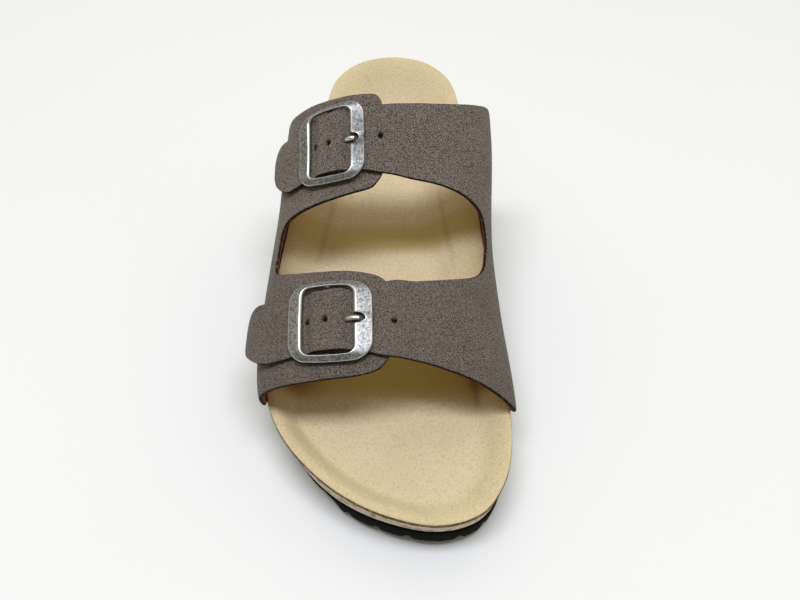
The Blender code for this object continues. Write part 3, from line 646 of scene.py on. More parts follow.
@dataclass(frozen=True)
class FootSurface:
    """Surface of the foot under the straps: walls that curve out to the rim, and an arch above.

    Attributes:
        girth_step: step of girth on either side from which a slope is taken.
        station_step: step of stations likewise.
    """

    clearance: float = 0.6
    foot_gap: float = 1.2
    wall_ease: float = 0.5
    girth_step: float = 0.02
    station_step: float = 0.5

    def point(self, station: Array, girth: Array) -> Array:
        """Point at a station and girth.

        Between girths 1 and 3 each side is a cubic Bezier from the rim to the crest; below them the wall
        runs straight down while its inset grows with the square of the way down.

        Args:
            station: places along the sole.
            girth: places round the foot.

        Returns:
            Points, in millimetres.
        """
        row = {name: curve(ARCH, name, station) for name in ArchRow._fields[1:]}
        lateral, medial = RIM.sides(station)
        foot = GROUND.top(station) + self.foot_gap
        tuck = curve(CORK_WALL, "inset", station) - self.wall_ease
        crest_x, crest_z = row["crest_x"], row["crest_z"]
        edges = {"lateral": (lateral - self.clearance, -1), "medial": (medial + self.clearance, 1)}
        sides = []
        for name, (edge, sign) in edges.items():
            rim = curve(FOOTBED, f"{name}_rim", station)
            over = np.clip(1 + sign * (2 - girth), 0, 1)
            down = np.clip(sign * (girth - 2) - 1, 0, 1)
            lean, run = edge + sign * row[f"{name}_lean"], crest_x + sign * row[f"{name}_run"]
            x = bezier(edge, lean, run, crest_x, over) - sign * tuck * down**2
            z = bezier(rim, rim + row[f"{name}_rise"], crest_z, crest_z, over) + (foot - rim) * down
            sides.append(place(x, station, z))
        return np.where((girth > 2)[..., None], sides[1], sides[0])

    def offset(self, station: Any, girth: Any, above: Any) -> Array:
        """Point moved out along the surface's normal, which is the cross product of its two slopes."""
        station, girth, above = np.broadcast_arrays(station, girth, above)
        step = self.station_step
        along = self.point(station + step, girth) - self.point(station - step, girth)
        low, high = (np.clip(girth + sign * self.girth_step, 0, 4) for sign in (-1, 1))
        around = self.point(station, high) - self.point(station, low)
        return self.point(station, girth) + unit(np.cross(along, around)) * above[..., None]


BED = Bed()
FOOT = FootSurface()


@dataclass(frozen=True)
class BuckleSeat:
    """Where a buckle sits on its strap, and how the strap's free end stands off.

    Attributes:
        girth_per_mm: girth taken by one millimetre along the strap, at the frame's height.
        stations_per_mm: stations taken by one millimetre across the strap, at the centre.
        bend: how much more stations that is for each millimetre towards the toe.
        slant: stations by which the strap turns off for each millimetre along.
        tail_girth: girth where the free end starts to stand off.
        tail_lift: how far it stands off at its end.
        least_root: keeps the root in "across" real far from the buckle.
    """

    name: str
    girth: float
    station: float
    girth_per_mm: float
    stations_per_mm: float
    bend: float
    slant: float
    tail_girth: float
    tail_lift: float
    least_root: float = 0.01

    def at(self, along: Array, across: Array, above: Array) -> Array:
        """Point along and across the strap from the buckle's centre, and above the foot."""
        station = self.station + (self.stations_per_mm + self.bend * across) * across + self.slant * along
        return FOOT.offset(station, self.girth + self.girth_per_mm * along, above)

    def along(self, girth: Array) -> Array:
        """Millimetres along the strap from the centre bar."""
        return (girth - self.girth) / self.girth_per_mm

    def across(self, girth: Array, station: Array) -> Array:
        """Millimetres across the strap from its middle."""
        off = station - self.station - self.slant * self.along(girth)
        root = np.sqrt(np.maximum(self.stations_per_mm**2 + 4 * self.bend * off, self.least_root))
        return 2 * off / (self.stations_per_mm + root)


FRONT_SEAT = BuckleSeat(
    name="front",
    girth=1.736,
    station=200.3,
    girth_per_mm=0.01088,
    stations_per_mm=0.965,
    bend=0.0,
    slant=0.05,
    tail_girth=1.50,
    tail_lift=3.0,
)
REAR_SEAT = BuckleSeat(
    name="rear",
    girth=1.7125,
    station=120.0,
    girth_per_mm=0.0106,
    stations_per_mm=0.82,
    bend=0.0066,
    slant=-0.02,
    tail_girth=1.48,
    tail_lift=2.6,
)


class Value:
    """A number of the shader; arithmetic on it adds Math nodes."""

    def __init__(self, paint: "Paint", socket: bpy.types.NodeSocket) -> None:
        """Wraps a socket of a material."""
        self.paint = paint
        self.socket = socket

    def _math(self, operation: str, first: Any, second: Any, clamp: bool = False) -> "Value":
        """A Math node on two values or numbers."""
        settings = {"operation": operation, "use_clamp": clamp}
        node = self.paint.node("ShaderNodeMath", settings, {0: first, 1: second})
        return Value(self.paint, node.outputs[0])

    def __add__(self, other: Any) -> "Value":
        """Sum."""
        return self._math("ADD", self, other)

    __radd__ = __add__

    def __sub__(self, other: Any) -> "Value":
        """Difference."""
        return self._math("SUBTRACT", self, other)

    def __rsub__(self, other: Any) -> "Value":
        """Difference from a number."""
        return self._math("SUBTRACT", other, self)

    def __mul__(self, other: Any) -> "Value":
        """Product."""
        return self._math("MULTIPLY", self, other)

    __rmul__ = __mul__

    def between(self, low: float, high: float) -> "Value":
        """0 at low and 1 at high, held past both."""
        return self._math("DIVIDE", self - low, high - low, clamp=True)


class Paint:
    """Nodes of one material, with a Principled shader at the end."""

    def __init__(self, name: str) -> None:
        """Starts an empty material."""
        self.start(bpy.data.materials.new(name), "Principled BSDF")

    def start(self, owner: bpy.types.Material | bpy.types.World, shader: str) -> None:
        """Takes up the owner's node tree, which ends in this shader."""
        owner.use_nodes = True
        self.owner = owner
        self.tree = owner.node_tree
        self.shader = self.tree.nodes[shader]

    def node(self, kind: str, settings: Settings = None, inputs: Inputs = None) -> bpy.types.Node:
        """Adds a node.

        Args:
            kind: Blender's name of the node type.
            settings: properties, set first.
            inputs: number or name of a socket, to its value or to what feeds it.

        Returns:
            The node.
        """
        node = self.tree.nodes.new(kind)
        for name, value in (settings or {}).items():
            setattr(node, name, value)
        for name, value in (inputs or {}).items():
            self.feed(node.inputs[name], value)
        return node

    def feed(self, socket: bpy.types.NodeSocket, value: Any) -> None:
        """Sets or links an input."""
        if isinstance(value, Value):
            self.tree.links.new(value.socket, socket)
        elif isinstance(value, bpy.types.NodeSocket):
            self.tree.links.new(value, socket)
        elif isinstance(value, tuple) and len(value) == 3 and socket.type == "RGBA":
            socket.default_value = (*value, 1.0)
        else:
            socket.default_value = value

    def place(self) -> bpy.types.NodeSocket:
        """Object coordinates."""
        return self.node("ShaderNodeTexCoord").outputs["Object"]

    def attribute(self, name: str) -> Value:
        """A number stored on the piece's points."""
        return Value(self, self.node("ShaderNodeAttribute", {"attribute_name": name}).outputs["Fac"])

    def noise(self, scale: float, detail: float = 3.0, roughness: float = 0.5, vector: Any = None) -> Value:
        """Cloudy noise, about 0.5, with so many clouds to the metre."""
        inputs = {"Vector": vector or self.place(), "Scale": scale, "Detail": detail, "Roughness": roughness}
        return Value(self, self.node("ShaderNodeTexNoise", None, inputs).outputs[0])

    def cells(self, scale: float, feature: str = "F1", vector: Any = None) -> Value:
        """Distance inside irregular cells, so many to the metre."""
        inputs = {"Vector": vector or self.place(), "Scale": scale}
        node = self.node("ShaderNodeTexVoronoi", {"feature": feature}, inputs)
        return Value(self, node.outputs["Distance"])

    def bent(self, scale: float, amount: float) -> bpy.types.NodeSocket:
        """Object coordinates pushed about by a noise, so that cells lose their straight edges."""
        soft = {"Vector": self.place(), "Scale": scale, "Detail": 2.0}
        cloud = self.node("ShaderNodeTexNoise", None, soft)
        away = {0: cloud.outputs["Color"], 1: (0.5,) * 3}
        centred = self.node("ShaderNodeVectorMath", {"operation": "SUBTRACT"}, away)
        pushed = {0: centred.outputs[0], 1: (amount,) * 3, 2: self.place()}
        return self.node("ShaderNodeVectorMath", {"operation": "MULTIPLY_ADD"}, pushed).outputs[0]

    def mix(self, share: Any, first: Any, second: Any) -> bpy.types.NodeSocket:
        """A colour between two colours."""
        node = self.node("ShaderNodeMix", {"data_type": "RGBA"}, {0: share, 6: first, 7: second})
        return node.outputs[2]

    def bump(self, height: Value, depth: float, strength: float) -> bpy.types.NodeSocket:
        """Normal of a relief of this depth in metres."""
        inputs = {"Height": height, "Distance": depth, "Strength": strength}
        return self.node("ShaderNodeBump", None, inputs).outputs["Normal"]

    def finish(self, **sockets: Any) -> bpy.types.Material | bpy.types.World:
        """Feeds the shader; a socket's name has its spaces written as underscores."""
        for name, value in sockets.items():
            self.feed(self.shader.inputs[name.replace("_", " ")], value)
        return self.owner


class Sky(Paint):
    """Nodes of the world, with a Background shader at the end."""

    def __init__(self, name: str) -> None:
        """Starts an empty world."""
        self.start(bpy.data.worlds.new(name), "Background")


@dataclass(frozen=True)
class Nubuck:
    """Taupe nubuck with a fine curled grain, black along its cut edges, black as painted shade in its
    punched holes, and painted lighter towards the heel.
    """

    name: str = "taupe_nubuck"
    light: Colour = (0.238, 0.196, 0.167)
    # Lighter grain tone towards the heel: painted light on the rear strap.
    painted_heel_light: Colour = (0.304, 0.251, 0.215)
    dark: Colour = (0.026, 0.020, 0.016)
    edge: Colour = (0.014, 0.012, 0.011)
    # Near-black filling of the punched holes: painted shade of their depth.
    hole: Colour = (0.006, 0.005, 0.004)
    grains: float = 3200.0
    fibres: float = 2400.0
    clouds: float = 45.0
    relief: float = 0.00022
    fade: Pair = (-0.05, 0.01)

    def material(self) -> bpy.types.Material:
        """Fine noises run evenly from dark pits to light grains, which are painted lighter towards the heel
        as light on the rear strap.
        """
        paint = Paint(self.name)
        grain = paint.noise(self.grains, 0.0, 0.5)
        fibre = paint.noise(self.fibres, 1.0, 0.5)
        cloud = paint.noise(self.clouds, 3.0, 0.55)
        height = grain * 0.72 + fibre * 0.28
        lit = (height + (cloud - 0.5) * 0.06).between(0.375, 0.645)
        # Painted light: the grains turn lighter towards the heel.
        back = Value(paint, paint.node("ShaderNodeSeparateXYZ", None, {0: paint.place()}).outputs[1])
        tone = paint.mix(lit, self.dark, paint.mix(back.between(*self.fade), self.light, self.painted_heel_light))
        border = paint.attribute("border") + (fibre - 0.5) * 0.6
        tone = paint.mix((1 - border.between(0.08, 0.36)) * 0.92, tone, self.edge)
        # Painted shade in the punched holes.
        tone = paint.mix(paint.attribute("pit"), tone, self.hole)
        return paint.finish(
            Base_Color=tone,
            Roughness=0.80 + cloud * 0.16,
            Normal=paint.bump(height, self.relief, 0.9),
            Sheen_Weight=0.08,
            Sheen_Roughness=0.45,
            Specular_IOR_Level=0.12,
        )


@dataclass(frozen=True)
class CutEdge:
    """Cut edge of the leather: painted black, specked by fibres, with the lining's tan edge inside."""

    name: str = "cut_edge"
    paint_colour: Colour = (0.007, 0.006, 0.006)
    speck: Colour = (0.30, 0.27, 0.23)
    lining: Colour = (0.16, 0.06, 0.022)
    specks: float = 1300.0
    waves: float = 320.0
    fibres: float = 1500.0
    relief: float = 0.0002

    def material(self) -> bpy.types.Material:
        """The depth through the leather picks black or tan, and sparse small noise adds specks."""
        paint = Paint(self.name)
        speck = paint.noise(self.specks, 2.0, 0.7).between(0.60, 0.70)
        wave = (paint.noise(self.waves, 2.0) - 0.5) * 0.25
        inside = (paint.attribute("depth") + wave).between(0.60, 0.78)
        tone = paint.mix(speck * 0.8, self.paint_colour, self.speck)
        tone = paint.mix(inside, tone, self.lining)
        relief = paint.bump(paint.noise(self.fibres, 3.0, 0.7), self.relief, 0.8)
        return paint.finish(Base_Color=tone, Roughness=0.85, Normal=relief, Specular_IOR_Level=0.1)


@dataclass(frozen=True)
class Lining:
    """Reddish-brown smooth lining of the straps."""

    name: str = "cognac_lining"
    base: Colour = (0.330, 0.100, 0.036)
    dark: Colour = (0.210, 0.060, 0.022)
    light: Colour = (0.430, 0.160, 0.066)
    grains: float = 1500.0
    bends: float = 800.0
    bend: float = 0.0004
    clouds: float = 55.0
    relief: float = 0.00012

    def material(self) -> bpy.types.Material:
        """Fine cells for the grain, and wide clouds between a darker and a lighter brown."""
        paint = Paint(self.name)
        grain = paint.cells(self.grains, "SMOOTH_F1", paint.bent(self.bends, self.bend))
        cloud = paint.noise(self.clouds, 4.0, 0.6)
        tone = paint.mix(grain.between(0.3, 0.7) * 0.5, self.base, self.dark)
        tone = paint.mix(cloud.between(0.48, 0.75) * 0.5, tone, self.light)
        relief = paint.bump(1 - grain, self.relief, 0.6)
        return paint.finish(Base_Color=tone, Roughness=0.55 + cloud * 0.2, Normal=relief)


@dataclass(frozen=True)
class Suede:
    """Tan suede of the footbed: yellower at the rim, pinker in the seat, finely flecked."""

    name: str = "tan_suede"
    seat: Colour = (0.670, 0.552, 0.352)
    rim: Colour = (0.640, 0.530, 0.305)
    fleck: Colour = (0.230, 0.150, 0.080)
    pale: Colour = (0.800, 0.690, 0.480)
    worn: Colour = (0.520, 0.405, 0.240)
    # Olive brown for the painted shade of the straps' shadows on the footbed.
    strap_shadow_tone: Colour = (0.550, 0.425, 0.110)
    # Dark red-brown: painted reflection and shade of the lining beside the walls.
    dye: Colour = (0.150, 0.035, 0.010)
    drifts: float = 60.0
    drift: float = 14.0
    seat_from: Pair = (5.0, 17.0)
    grains: float = 1900.0
    fibres: float = 950.0
    clouds: float = 30.0
    dots: float = 330.0
    patches: float = 260.0
    relief: float = 0.00016

    def material(self) -> bpy.types.Material:
        """The tone turns from rim to seat and is flecked by fine noises, then takes the painted shade,
        painted highlight and painted reddish reflection stored on the points.
        """
        paint = Paint(self.name)
        from_rim = paint.attribute("rim_distance")
        drift = (paint.noise(self.drifts, 3.0) - 0.5) * self.drift
        tone = paint.mix((from_rim + drift).between(*self.seat_from), self.rim, self.seat)
        fine = paint.noise(self.grains, 2.0, 0.6)
        fibre = paint.noise(self.fibres, 3.0, 0.7)
        cloud = paint.noise(self.clouds, 5.0, 0.6)
        tone = paint.mix(fine.between(0.50, 0.70) * 0.75, tone, self.pale)
        tone = paint.mix((1 - fibre.between(0.32, 0.50)) * 0.75, tone, self.worn)
        tone = paint.mix(cloud.between(0.50, 0.80) * 0.35, tone, self.worn)
        dots = 1 - paint.cells(self.dots).between(0.08, 0.14)
        sparse = paint.noise(self.patches, 1.0).between(0.58, 0.64)
        tone = paint.mix(dots * sparse * 0.6, tone, self.fleck)
        # Painted shade of the straps' shadows: the stored bands mix in the olive brown.
        tone = paint.mix(paint.attribute("unfaded") * (0.8 + cloud * 0.4), tone, self.strap_shadow_tone)
        # Painted shade of creases and rim slope turns toward dark brown; the painted highlight and pale
        # lines turn toward the pale tone.
        line = paint.attribute("line")
        tone = paint.mix(line.between(0.0, 1.0), tone, self.fleck)
        tone = paint.mix(line.between(0.0, -1.0), tone, self.pale)
        # Painted reddish reflection and shade of the lining beside the walls.
        tone = paint.mix(paint.attribute("dye"), tone, self.dye)
        relief = paint.bump(fine + fibre * 0.8, self.relief, 0.7)
        rough = 0.86 + fibre * 0.12
        return paint.finish(Base_Color=tone, Roughness=rough, Normal=relief, Specular_IOR_Level=0.2)


@dataclass(frozen=True)
class RawEdge:
    """Raw edge under the suede: a brown, broken line of fibres."""

    name: str = "raw_fibre_edge"
    base: Colour = (0.235, 0.120, 0.045)
    dark: Colour = (0.055, 0.026, 0.010)
    pale: Colour = (0.500, 0.370, 0.190)
    fibres: float = 950.0
    chunks: float = 330.0
    relief: float = 0.0005

    def material(self) -> bpy.types.Material:
        """Coarse noise breaks a brown into dark and pale fibres."""
        paint = Paint(self.name)
        fibre = paint.noise(self.fibres, 4.0, 0.75)
        chunk = paint.noise(self.chunks, 3.0, 0.6)
        tone = paint.mix(fibre.between(0.50, 0.64), self.base, self.pale)
        tone = paint.mix(chunk.between(0.44, 0.58) * 0.85, tone, self.dark)
        return paint.finish(Base_Color=tone, Roughness=0.95, Normal=paint.bump(fibre, self.relief, 0.9))


@dataclass(frozen=True)
class Cork:
    """Sealed pressed cork: grey-beige granules with a few dark ones."""

    name: str = "sealed_cork"
    base: Colour = (0.600, 0.500, 0.365)
    granule: Colour = (0.700, 0.610, 0.470)
    dark: Colour = (0.260, 0.170, 0.100)
    seam: Colour = (0.430, 0.335, 0.230)
    granules: float = 430.0
    bends: float = 420.0
    bend: float = 0.0012
    pores: float = 1500.0
    relief: float = 0.0003

    def material(self) -> bpy.types.Material:
        """Bent cells make granules of differing tone, their borders darken, and a sparse few are dark."""
        paint = Paint(self.name)
        bent = paint.bent(self.bends, self.bend)
        node = paint.node("ShaderNodeTexVoronoi", None, {"Vector": bent, "Scale": self.granules})
        tint = paint.node("ShaderNodeSeparateColor", None, {0: node.outputs["Color"]})
        border = paint.cells(self.granules, "DISTANCE_TO_EDGE", bent)
        pick = Value(paint, tint.outputs[0])
        tone = paint.mix(Value(paint, tint.outputs[1]), self.base, self.granule)
        tone = paint.mix(pick.between(0.86, 0.90) * 0.8, tone, self.dark)
        tone = paint.mix((1 - border.between(0.02, 0.10)) * 0.35, tone, self.seam)
        fine = paint.noise(self.pores, 3.0, 0.7)
        tone = paint.mix(fine.between(0.55, 0.75) * 0.30, tone, self.seam)
        relief = paint.bump(border.between(0.0, 0.18) + fine * 0.4, self.relief, 0.6)
        return paint.finish(Base_Color=tone, Roughness=0.62 + fine * 0.3, Normal=relief)


@dataclass(frozen=True)
class Rubber:
    """Black foam rubber, dusty, with a fine moulded grain."""

    name: str = "black_foam_rubber"
    base: Colour = (0.0040, 0.0040, 0.0036)
    dust: Colour = (0.013, 0.0115, 0.009)
    grains: float = 1300.0
    clouds: float = 70.0
    relief: float = 0.0002

    def material(self) -> bpy.types.Material:
        """A fine grain for the relief, and faint clouds of dust."""
        paint = Paint(self.name)
        grain = paint.noise(self.grains, 3.0, 0.6)
        cloud = paint.noise(self.clouds, 4.0, 0.6)
        tone = paint.mix(cloud.between(0.50, 0.80) * 0.5, self.base, self.dust)
        tone = paint.mix(grain.between(0.60, 0.80) * 0.25, tone, self.dust)
        relief = paint.bump(grain, self.relief, 0.5)
        rough = 0.70 + cloud * 0.25
        return paint.finish(Base_Color=tone, Roughness=rough, Normal=relief, Specular_IOR_Level=0.05)


@dataclass(frozen=True)
class Pewter:
    """Antiqued silver: dark in the lows, mottled on the flats and bright on worn edges that carry a painted
    highlight.
    """

    name: str = "antique_pewter"
    metal: Colour = (0.430, 0.432, 0.425)
    dull: Colour = (0.150, 0.150, 0.146)
    dark: Colour = (0.060, 0.058, 0.055)
    bright: Colour = (0.860, 0.865, 0.865)
    mottles: float = 1000.0
    flecks: float = 2400.0
    relief: float = 0.00010

    def material(self) -> bpy.types.Material:
        """Two noises mottle the metal; stored masks brighten its worn edges and the prong's top with a
        painted highlight, and darken the notch's rim, tarnished and in painted shade, and the centre bar.
        """
        paint = Paint(self.name)
        mottle = paint.noise(self.mottles, 3.0, 0.65)
        fleck = paint.noise(self.flecks, 2.0, 0.6)
        wear = paint.attribute("wear")
        tone = paint.mix(mottle.between(0.36, 0.60), self.dull, self.metal)
        tone = paint.mix(fleck.between(0.54, 0.66) * 0.6, tone, self.dark)
        # Worn edges and the prong's top brightened by a painted highlight.
        tone = paint.mix(wear * (0.75 + mottle * 0.4), tone, self.bright)
        # Darkness round the notch, tarnished and in painted shade, and on the centre bar.
        tone = paint.mix(paint.attribute("tarnish"), tone, self.dark)
        rough = 0.47 - wear * 0.14 + fleck * 0.10
        relief = paint.bump(mottle + fleck * 0.4, self.relief, 0.30)
        return paint.finish(Base_Color=tone, Roughness=rough, Metallic=1.0, Normal=relief)


@dataclass(frozen=True)
class Tabletop:
    """Plain pale floor."""

    name: str = "pale_floor"
    base: Colour = (0.86, 0.86, 0.85)
    cloud: Colour = (0.84, 0.84, 0.83)
    clouds: float = 3.0

    def material(self) -> bpy.types.Material:
        """A very faint cloud on a pale matt ground."""
        paint = Paint(self.name)
        tone = paint.mix(paint.noise(self.clouds, 3.0).between(0.3, 0.7), self.base, self.cloud)
        return paint.finish(Base_Color=tone, Roughness=0.7, Specular_IOR_Level=0.2)


class Finish(Enum):
    """Every finish: its fields hold colours, counts to the metre and depths in metres."""

    NUBUCK = Nubuck()
    EDGE = CutEdge()
    LINING = Lining()
    SUEDE = Suede()
    RAW_EDGE = RawEdge()
    CORK = Cork()
    RUBBER = Rubber()
    PEWTER = Pewter()
    FLOOR = Tabletop()

    def material(self) -> bpy.types.Material:
        """The finish's material, made once."""
        return bpy.data.materials.get(self.value.name) or self.value.material()


@dataclass
class Piece:
    """A mesh in the making: points in millimetres, faces, and what is stored on them."""

    name: str
    points: Array
    faces: Array
    finishes: Sequence[Finish]
    finish_of_face: Array | None = None
    stored: dict[str, Array] | None = None

    def build(self, slot: str, nodes: Sequence[str]) -> bpy.types.Object:
        """Makes the object, merges doubled points, turns faces outwards and hands it to the frame.

        Args:
            slot: the record's material slot; not used.
            nodes: CAD nodes that the piece stands for.

        Returns:
            The object.
        """
        mesh = bpy.data.meshes.new(self.name)
        mesh.from_pydata(((self.points + SHIFT) * METRES).tolist(), [], self.faces.tolist())
        for name, values in (self.stored or {}).items():
            layer = mesh.attributes.new(name, "FLOAT", "POINT")
            layer.data.foreach_set("value", np.asarray(values, np.float32).ravel())
        for finish in self.finishes:
            mesh.materials.append(finish.material())
        if self.finish_of_face is not None:
            mesh.polygons.foreach_set("material_index", np.asarray(self.finish_of_face, np.int32))
        work = bmesh.new()
        work.from_mesh(mesh)
        bmesh.ops.remove_doubles(work, verts=work.verts, dist=DOUBLED)
        bmesh.ops.recalc_face_normals(work, faces=work.faces)
        work.to_mesh(mesh)
        work.free()
        mesh.polygons.foreach_set("use_smooth", np.ones(len(mesh.polygons), bool))
        mesh.update()
        obj = bpy.data.objects.new(self.name, mesh)
        bpy.context.scene.collection.objects.link(obj)
        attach(obj, BODY)
        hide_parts(*nodes)
        LOG.info("%s: %d faces", self.name, len(mesh.polygons))
        return obj


@dataclass
class Sole:
    """Outsole, cork body and suede cover, each a profile carried round the rim.

    A pair of stations, distances or shares is the stretch over which something sets in or ends, unless the
    list says otherwise.

    Attributes:
        skirt: how far the cover's raw edge hangs down over the cork at toe and heel.
        bounce_reach: how far from the rim the painted reddish reflection and shade of the lining go, lateral
            and medial.
        wall_height: usual height of the cork's wall, which tells what share of it the cover hides.
        wall_tuck: how far inside the sole's edge it ends at least.
        cork_lips: how far inside the rim the cork's hidden top and its underside end.
        edge_insets: how far the sole's upper and lower edge lie inside the rim.
        toe_reach: how much further out wall and sole come at the toe.
        tuck: how much further in the sole's upper and lower edge lie ahead of the outer strap.
        bulge: how far the sole's side swells, and how far its upper corner is drawn in.
        scallops: notches of the outsole on each side.
        rib_wave: how far a rib bends to and fro, and over what width.
    """

    cover: float = 1.4
    gap: float = 0.3
    lip: float = 0.5
    lip_steps: int = 5
    top_columns: int = 58
    under_columns: int = 18
    hidden_columns: int = 8
    skirt: float = 1.0
    skirt_toe: Pair = (220.0, 230.0)
    skirt_heel: Pair = (55.0, 68.0)
    bounce_reach: Pair = (30.0, 20.0)
    bounce_rise: Pair = (1.0, 10.0)
    bounce_fall: float = 9.0
    wall_rows: int = 22
    wall_height: float = 12.0
    wall_inset: float = 0.3
    wall_tuck: float = 0.4
    cork_lips: Pair = (0.6, 8.0)
    edge_insets: Pair = (2.2, 3.0)
    toe_reach: float = 0.9
    toe_stations: Pair = (236.0, 262.0)
    tuck: Pair = (1.5, 2.2)
    tuck_start: Pair = (212.0, 224.0)
    tuck_ends: tuple[Pair, ...] = ((237.0, 248.0), (252.0, 258.0))
    sole_lip: float = 4.0
    side_rows: int = 14
    bulge: Pair = (0.35, 0.3)
    corner: float = 0.08
    scallops: int = 24
    scallop_depth: float = 2.28
    scallop_reach: float = 9.0
    scallop_phase: float = 0.35
    scallop_slope: Pair = (0.06, 0.17)
    scallop_fade: float = 0.35
    scallop_rows: int = 12
    tread_columns: int = 40
    rib_pitch: float = 9.0
    rib_depth: float = 0.9
    rib_wave: Pair = (2.2, 9.0)
    rib_slope: Pair = (0.55, 0.85)
    rib_fade: float = 0.12

    def toe_flush(self) -> Array:
        """How much further out wall and sole come, for each point of the rim."""
        return self.toe_reach * ease(RIM.points[:, 1], *self.toe_stations)

    def sole_insets(self) -> list[Array]:
        """How far the sole's upper and lower edge lie inside the rim, for each point of the rim.

        Both come out by the toe reach round the toe, and both are tucked in ahead of the outer strap.

        Returns:
            The insets of the upper and of the lower edge.
        """
        station, flush = RIM.points[:, 1], self.toe_flush()
        ahead = ease(station, *self.tuck_start) * RIM.on_lateral
        edges = zip(self.edge_insets, self.tuck, self.tuck_ends)
        return [inset - flush + tuck * ahead * (1 - ease(station, *ends)) for inset, tuck, ends in edges]

    def dye(self, x: Array, station: Array, distance: Array) -> Array:
        """How much painted reddish reflection and shade of the lining lies beside the walls under the front
        strap.
        """
        reach = np.where(x < 0, *self.bounce_reach)
        fade = 1 - ease(distance, self.bounce_fall, reach)
        return in_band(PAINTED_LINING_BOUNCE, station) * ease(distance, *self.bounce_rise) * fade

    @staticmethod
    def around(inset: Any, height: Any) -> Array:
        """One line of points round the rim: moved in by an inset, at a height for each point."""
        return place(*RIM.inset(inset), height)[:, None]

    @staticmethod
    def carried(name: str, blocks: Sequence[Array], *finishes: Finish) -> Piece:
        """A piece from a profile carried round the rim and closed, given in blocks of its columns."""
        points = np.concatenate(blocks, axis=1)
        faces = strip_faces(*points.shape[:2], round_rows=True)
        return Piece(name, points.reshape(-1, 3), faces, finishes)

    def build(self) -> None:
        """Builds the three layers."""
        self.build_cover()
        self.build_cork()
        self.build_outsole()

    def build_cover(self) -> None:
        """Suede cover: the footbed's top, a quarter-round lip, the raw edge below it and an underside."""
        x, station = RIM.inner(np.linspace(0.0, 1.0, self.top_columns), self.lip)
        height, distance = BED.height(x, station)
        blocks = [place(x, station, height)]
        # Stored for the suede: painted shade and highlight lines, painted reddish reflection of the lining,
        # and painted shadows of the straps.
        stored = {
            "line": BED.lines(x, station)[1] + BED.rim_shade(x, station, distance),
            "dye": self.dye(x, station, distance),
            "unfaded": sum(in_band(band, station) for band in PAINTED_STRAP_SHADOWS),
        }
        for angle in np.linspace(0.0, math.pi / 2, self.lip_steps + 1)[1:]:
            drop = self.lip * (1 - math.cos(angle))
            blocks.append(self.around(self.lip * (1 - math.sin(angle)), RIM.height - drop))
        along = RIM.points[:, 1]
        hang = self.skirt * (ease(along, *self.skirt_toe) + 1 - ease(along, *self.skirt_heel))
        for edge in COVER_EDGE:
            blocks.append(self.around(edge.inset, RIM.height - edge.drop - edge.share * hang))
        x, station = RIM.inner(np.linspace(1.0, 0.0, self.under_columns), self.lip)
        below, under = BED.height(x, station)
        blocks.append(place(x, station, below - self.cover))
        piece = self.carried("suede_cover", blocks, Finish.SUEDE, Finish.RAW_EDGE)
        count, rim_columns = len(x), self.lip_steps + len(COVER_EDGE)
        plain = np.zeros((count, rim_columns + self.under_columns))
        piece.stored = {name: np.concatenate([values, plain], axis=1) for name, values in stored.items()}
        from_rim = [distance, np.zeros((count, rim_columns)), under]
        piece.stored["rim_distance"] = np.concatenate(from_rim, axis=1)
        suede = self.top_columns + self.lip_steps - 1
        raw = len(COVER_EDGE) + self.under_columns
        piece.finish_of_face = np.tile(np.repeat([0, 1], [suede, raw]), count)
        piece.build("suede", ["insole"])

    def build_cork(self) -> None:
        """Cork body: hidden top, a wall whose inset grows with the square of the way down, and underside."""
        top_lip, under_lip = self.cork_lips
        x, station = RIM.inner(np.linspace(0.0, 1.0, self.under_columns), top_lip)
        blocks = [place(x, station, BED.height(x, station)[0] - self.cover - self.gap)]
        wall = curve(CORK_WALL, "inset", RIM.points[:, 1]) - self.toe_flush()
        lean = np.maximum(wall, self.sole_insets()[0] + self.wall_tuck)
        start = (self.cover + self.gap) / self.wall_height
        top = RIM.height - self.cover - self.gap
        for way in np.linspace(start, 1.0, self.wall_rows):
            inset = self.wall_inset + (lean - self.wall_inset) * way**2
            foot = GROUND.top(RIM.inset(inset)[1]) + self.gap
            blocks.append(self.around(inset, top + (foot - top) * ((way - start) / (1 - start))))
        x, station = RIM.inner(np.linspace(1.0, 0.0, self.hidden_columns), under_lip)
        blocks.append(place(x, station, GROUND.top(station) + self.gap))
        self.carried("cork_body", blocks, Finish.CORK).build("cork", ["cork_footbed"])

    def notches(self) -> Array:
        """Height of the notches for each point of the rim: soft steps repeated from heel to toe."""
        along = np.arange(len(RIM.points)) / RIM.per_side * self.scallops
        along = np.where(RIM.on_lateral, along, 2 * self.scallops - along)
        phase = np.abs((along + self.scallop_phase) % 1.0 - 0.5)
        return self.scallop_depth * (1 - ease(phase, *self.scallop_slope))

    def tread(self) -> Array:
        """Ribbed underside: a raised cosine along the stations, bent by a slow wave across the sole."""
        share = np.linspace(1.0, 0.0, self.tread_columns)
        x, station = RIM.inner(share, self.edge_insets[1] + self.scallop_reach)
        swing, width = self.rib_wave
        wave = swing * np.sin(x / width)
        rib = 0.5 - 0.5 * np.cos(2 * np.pi * (station + wave) / self.rib_pitch)
        depth = self.rib_depth * ease(1 - share, 0.0, self.rib_fade)
        return place(x, station, GROUND.under(station) + depth * ease(rib, *self.rib_slope))

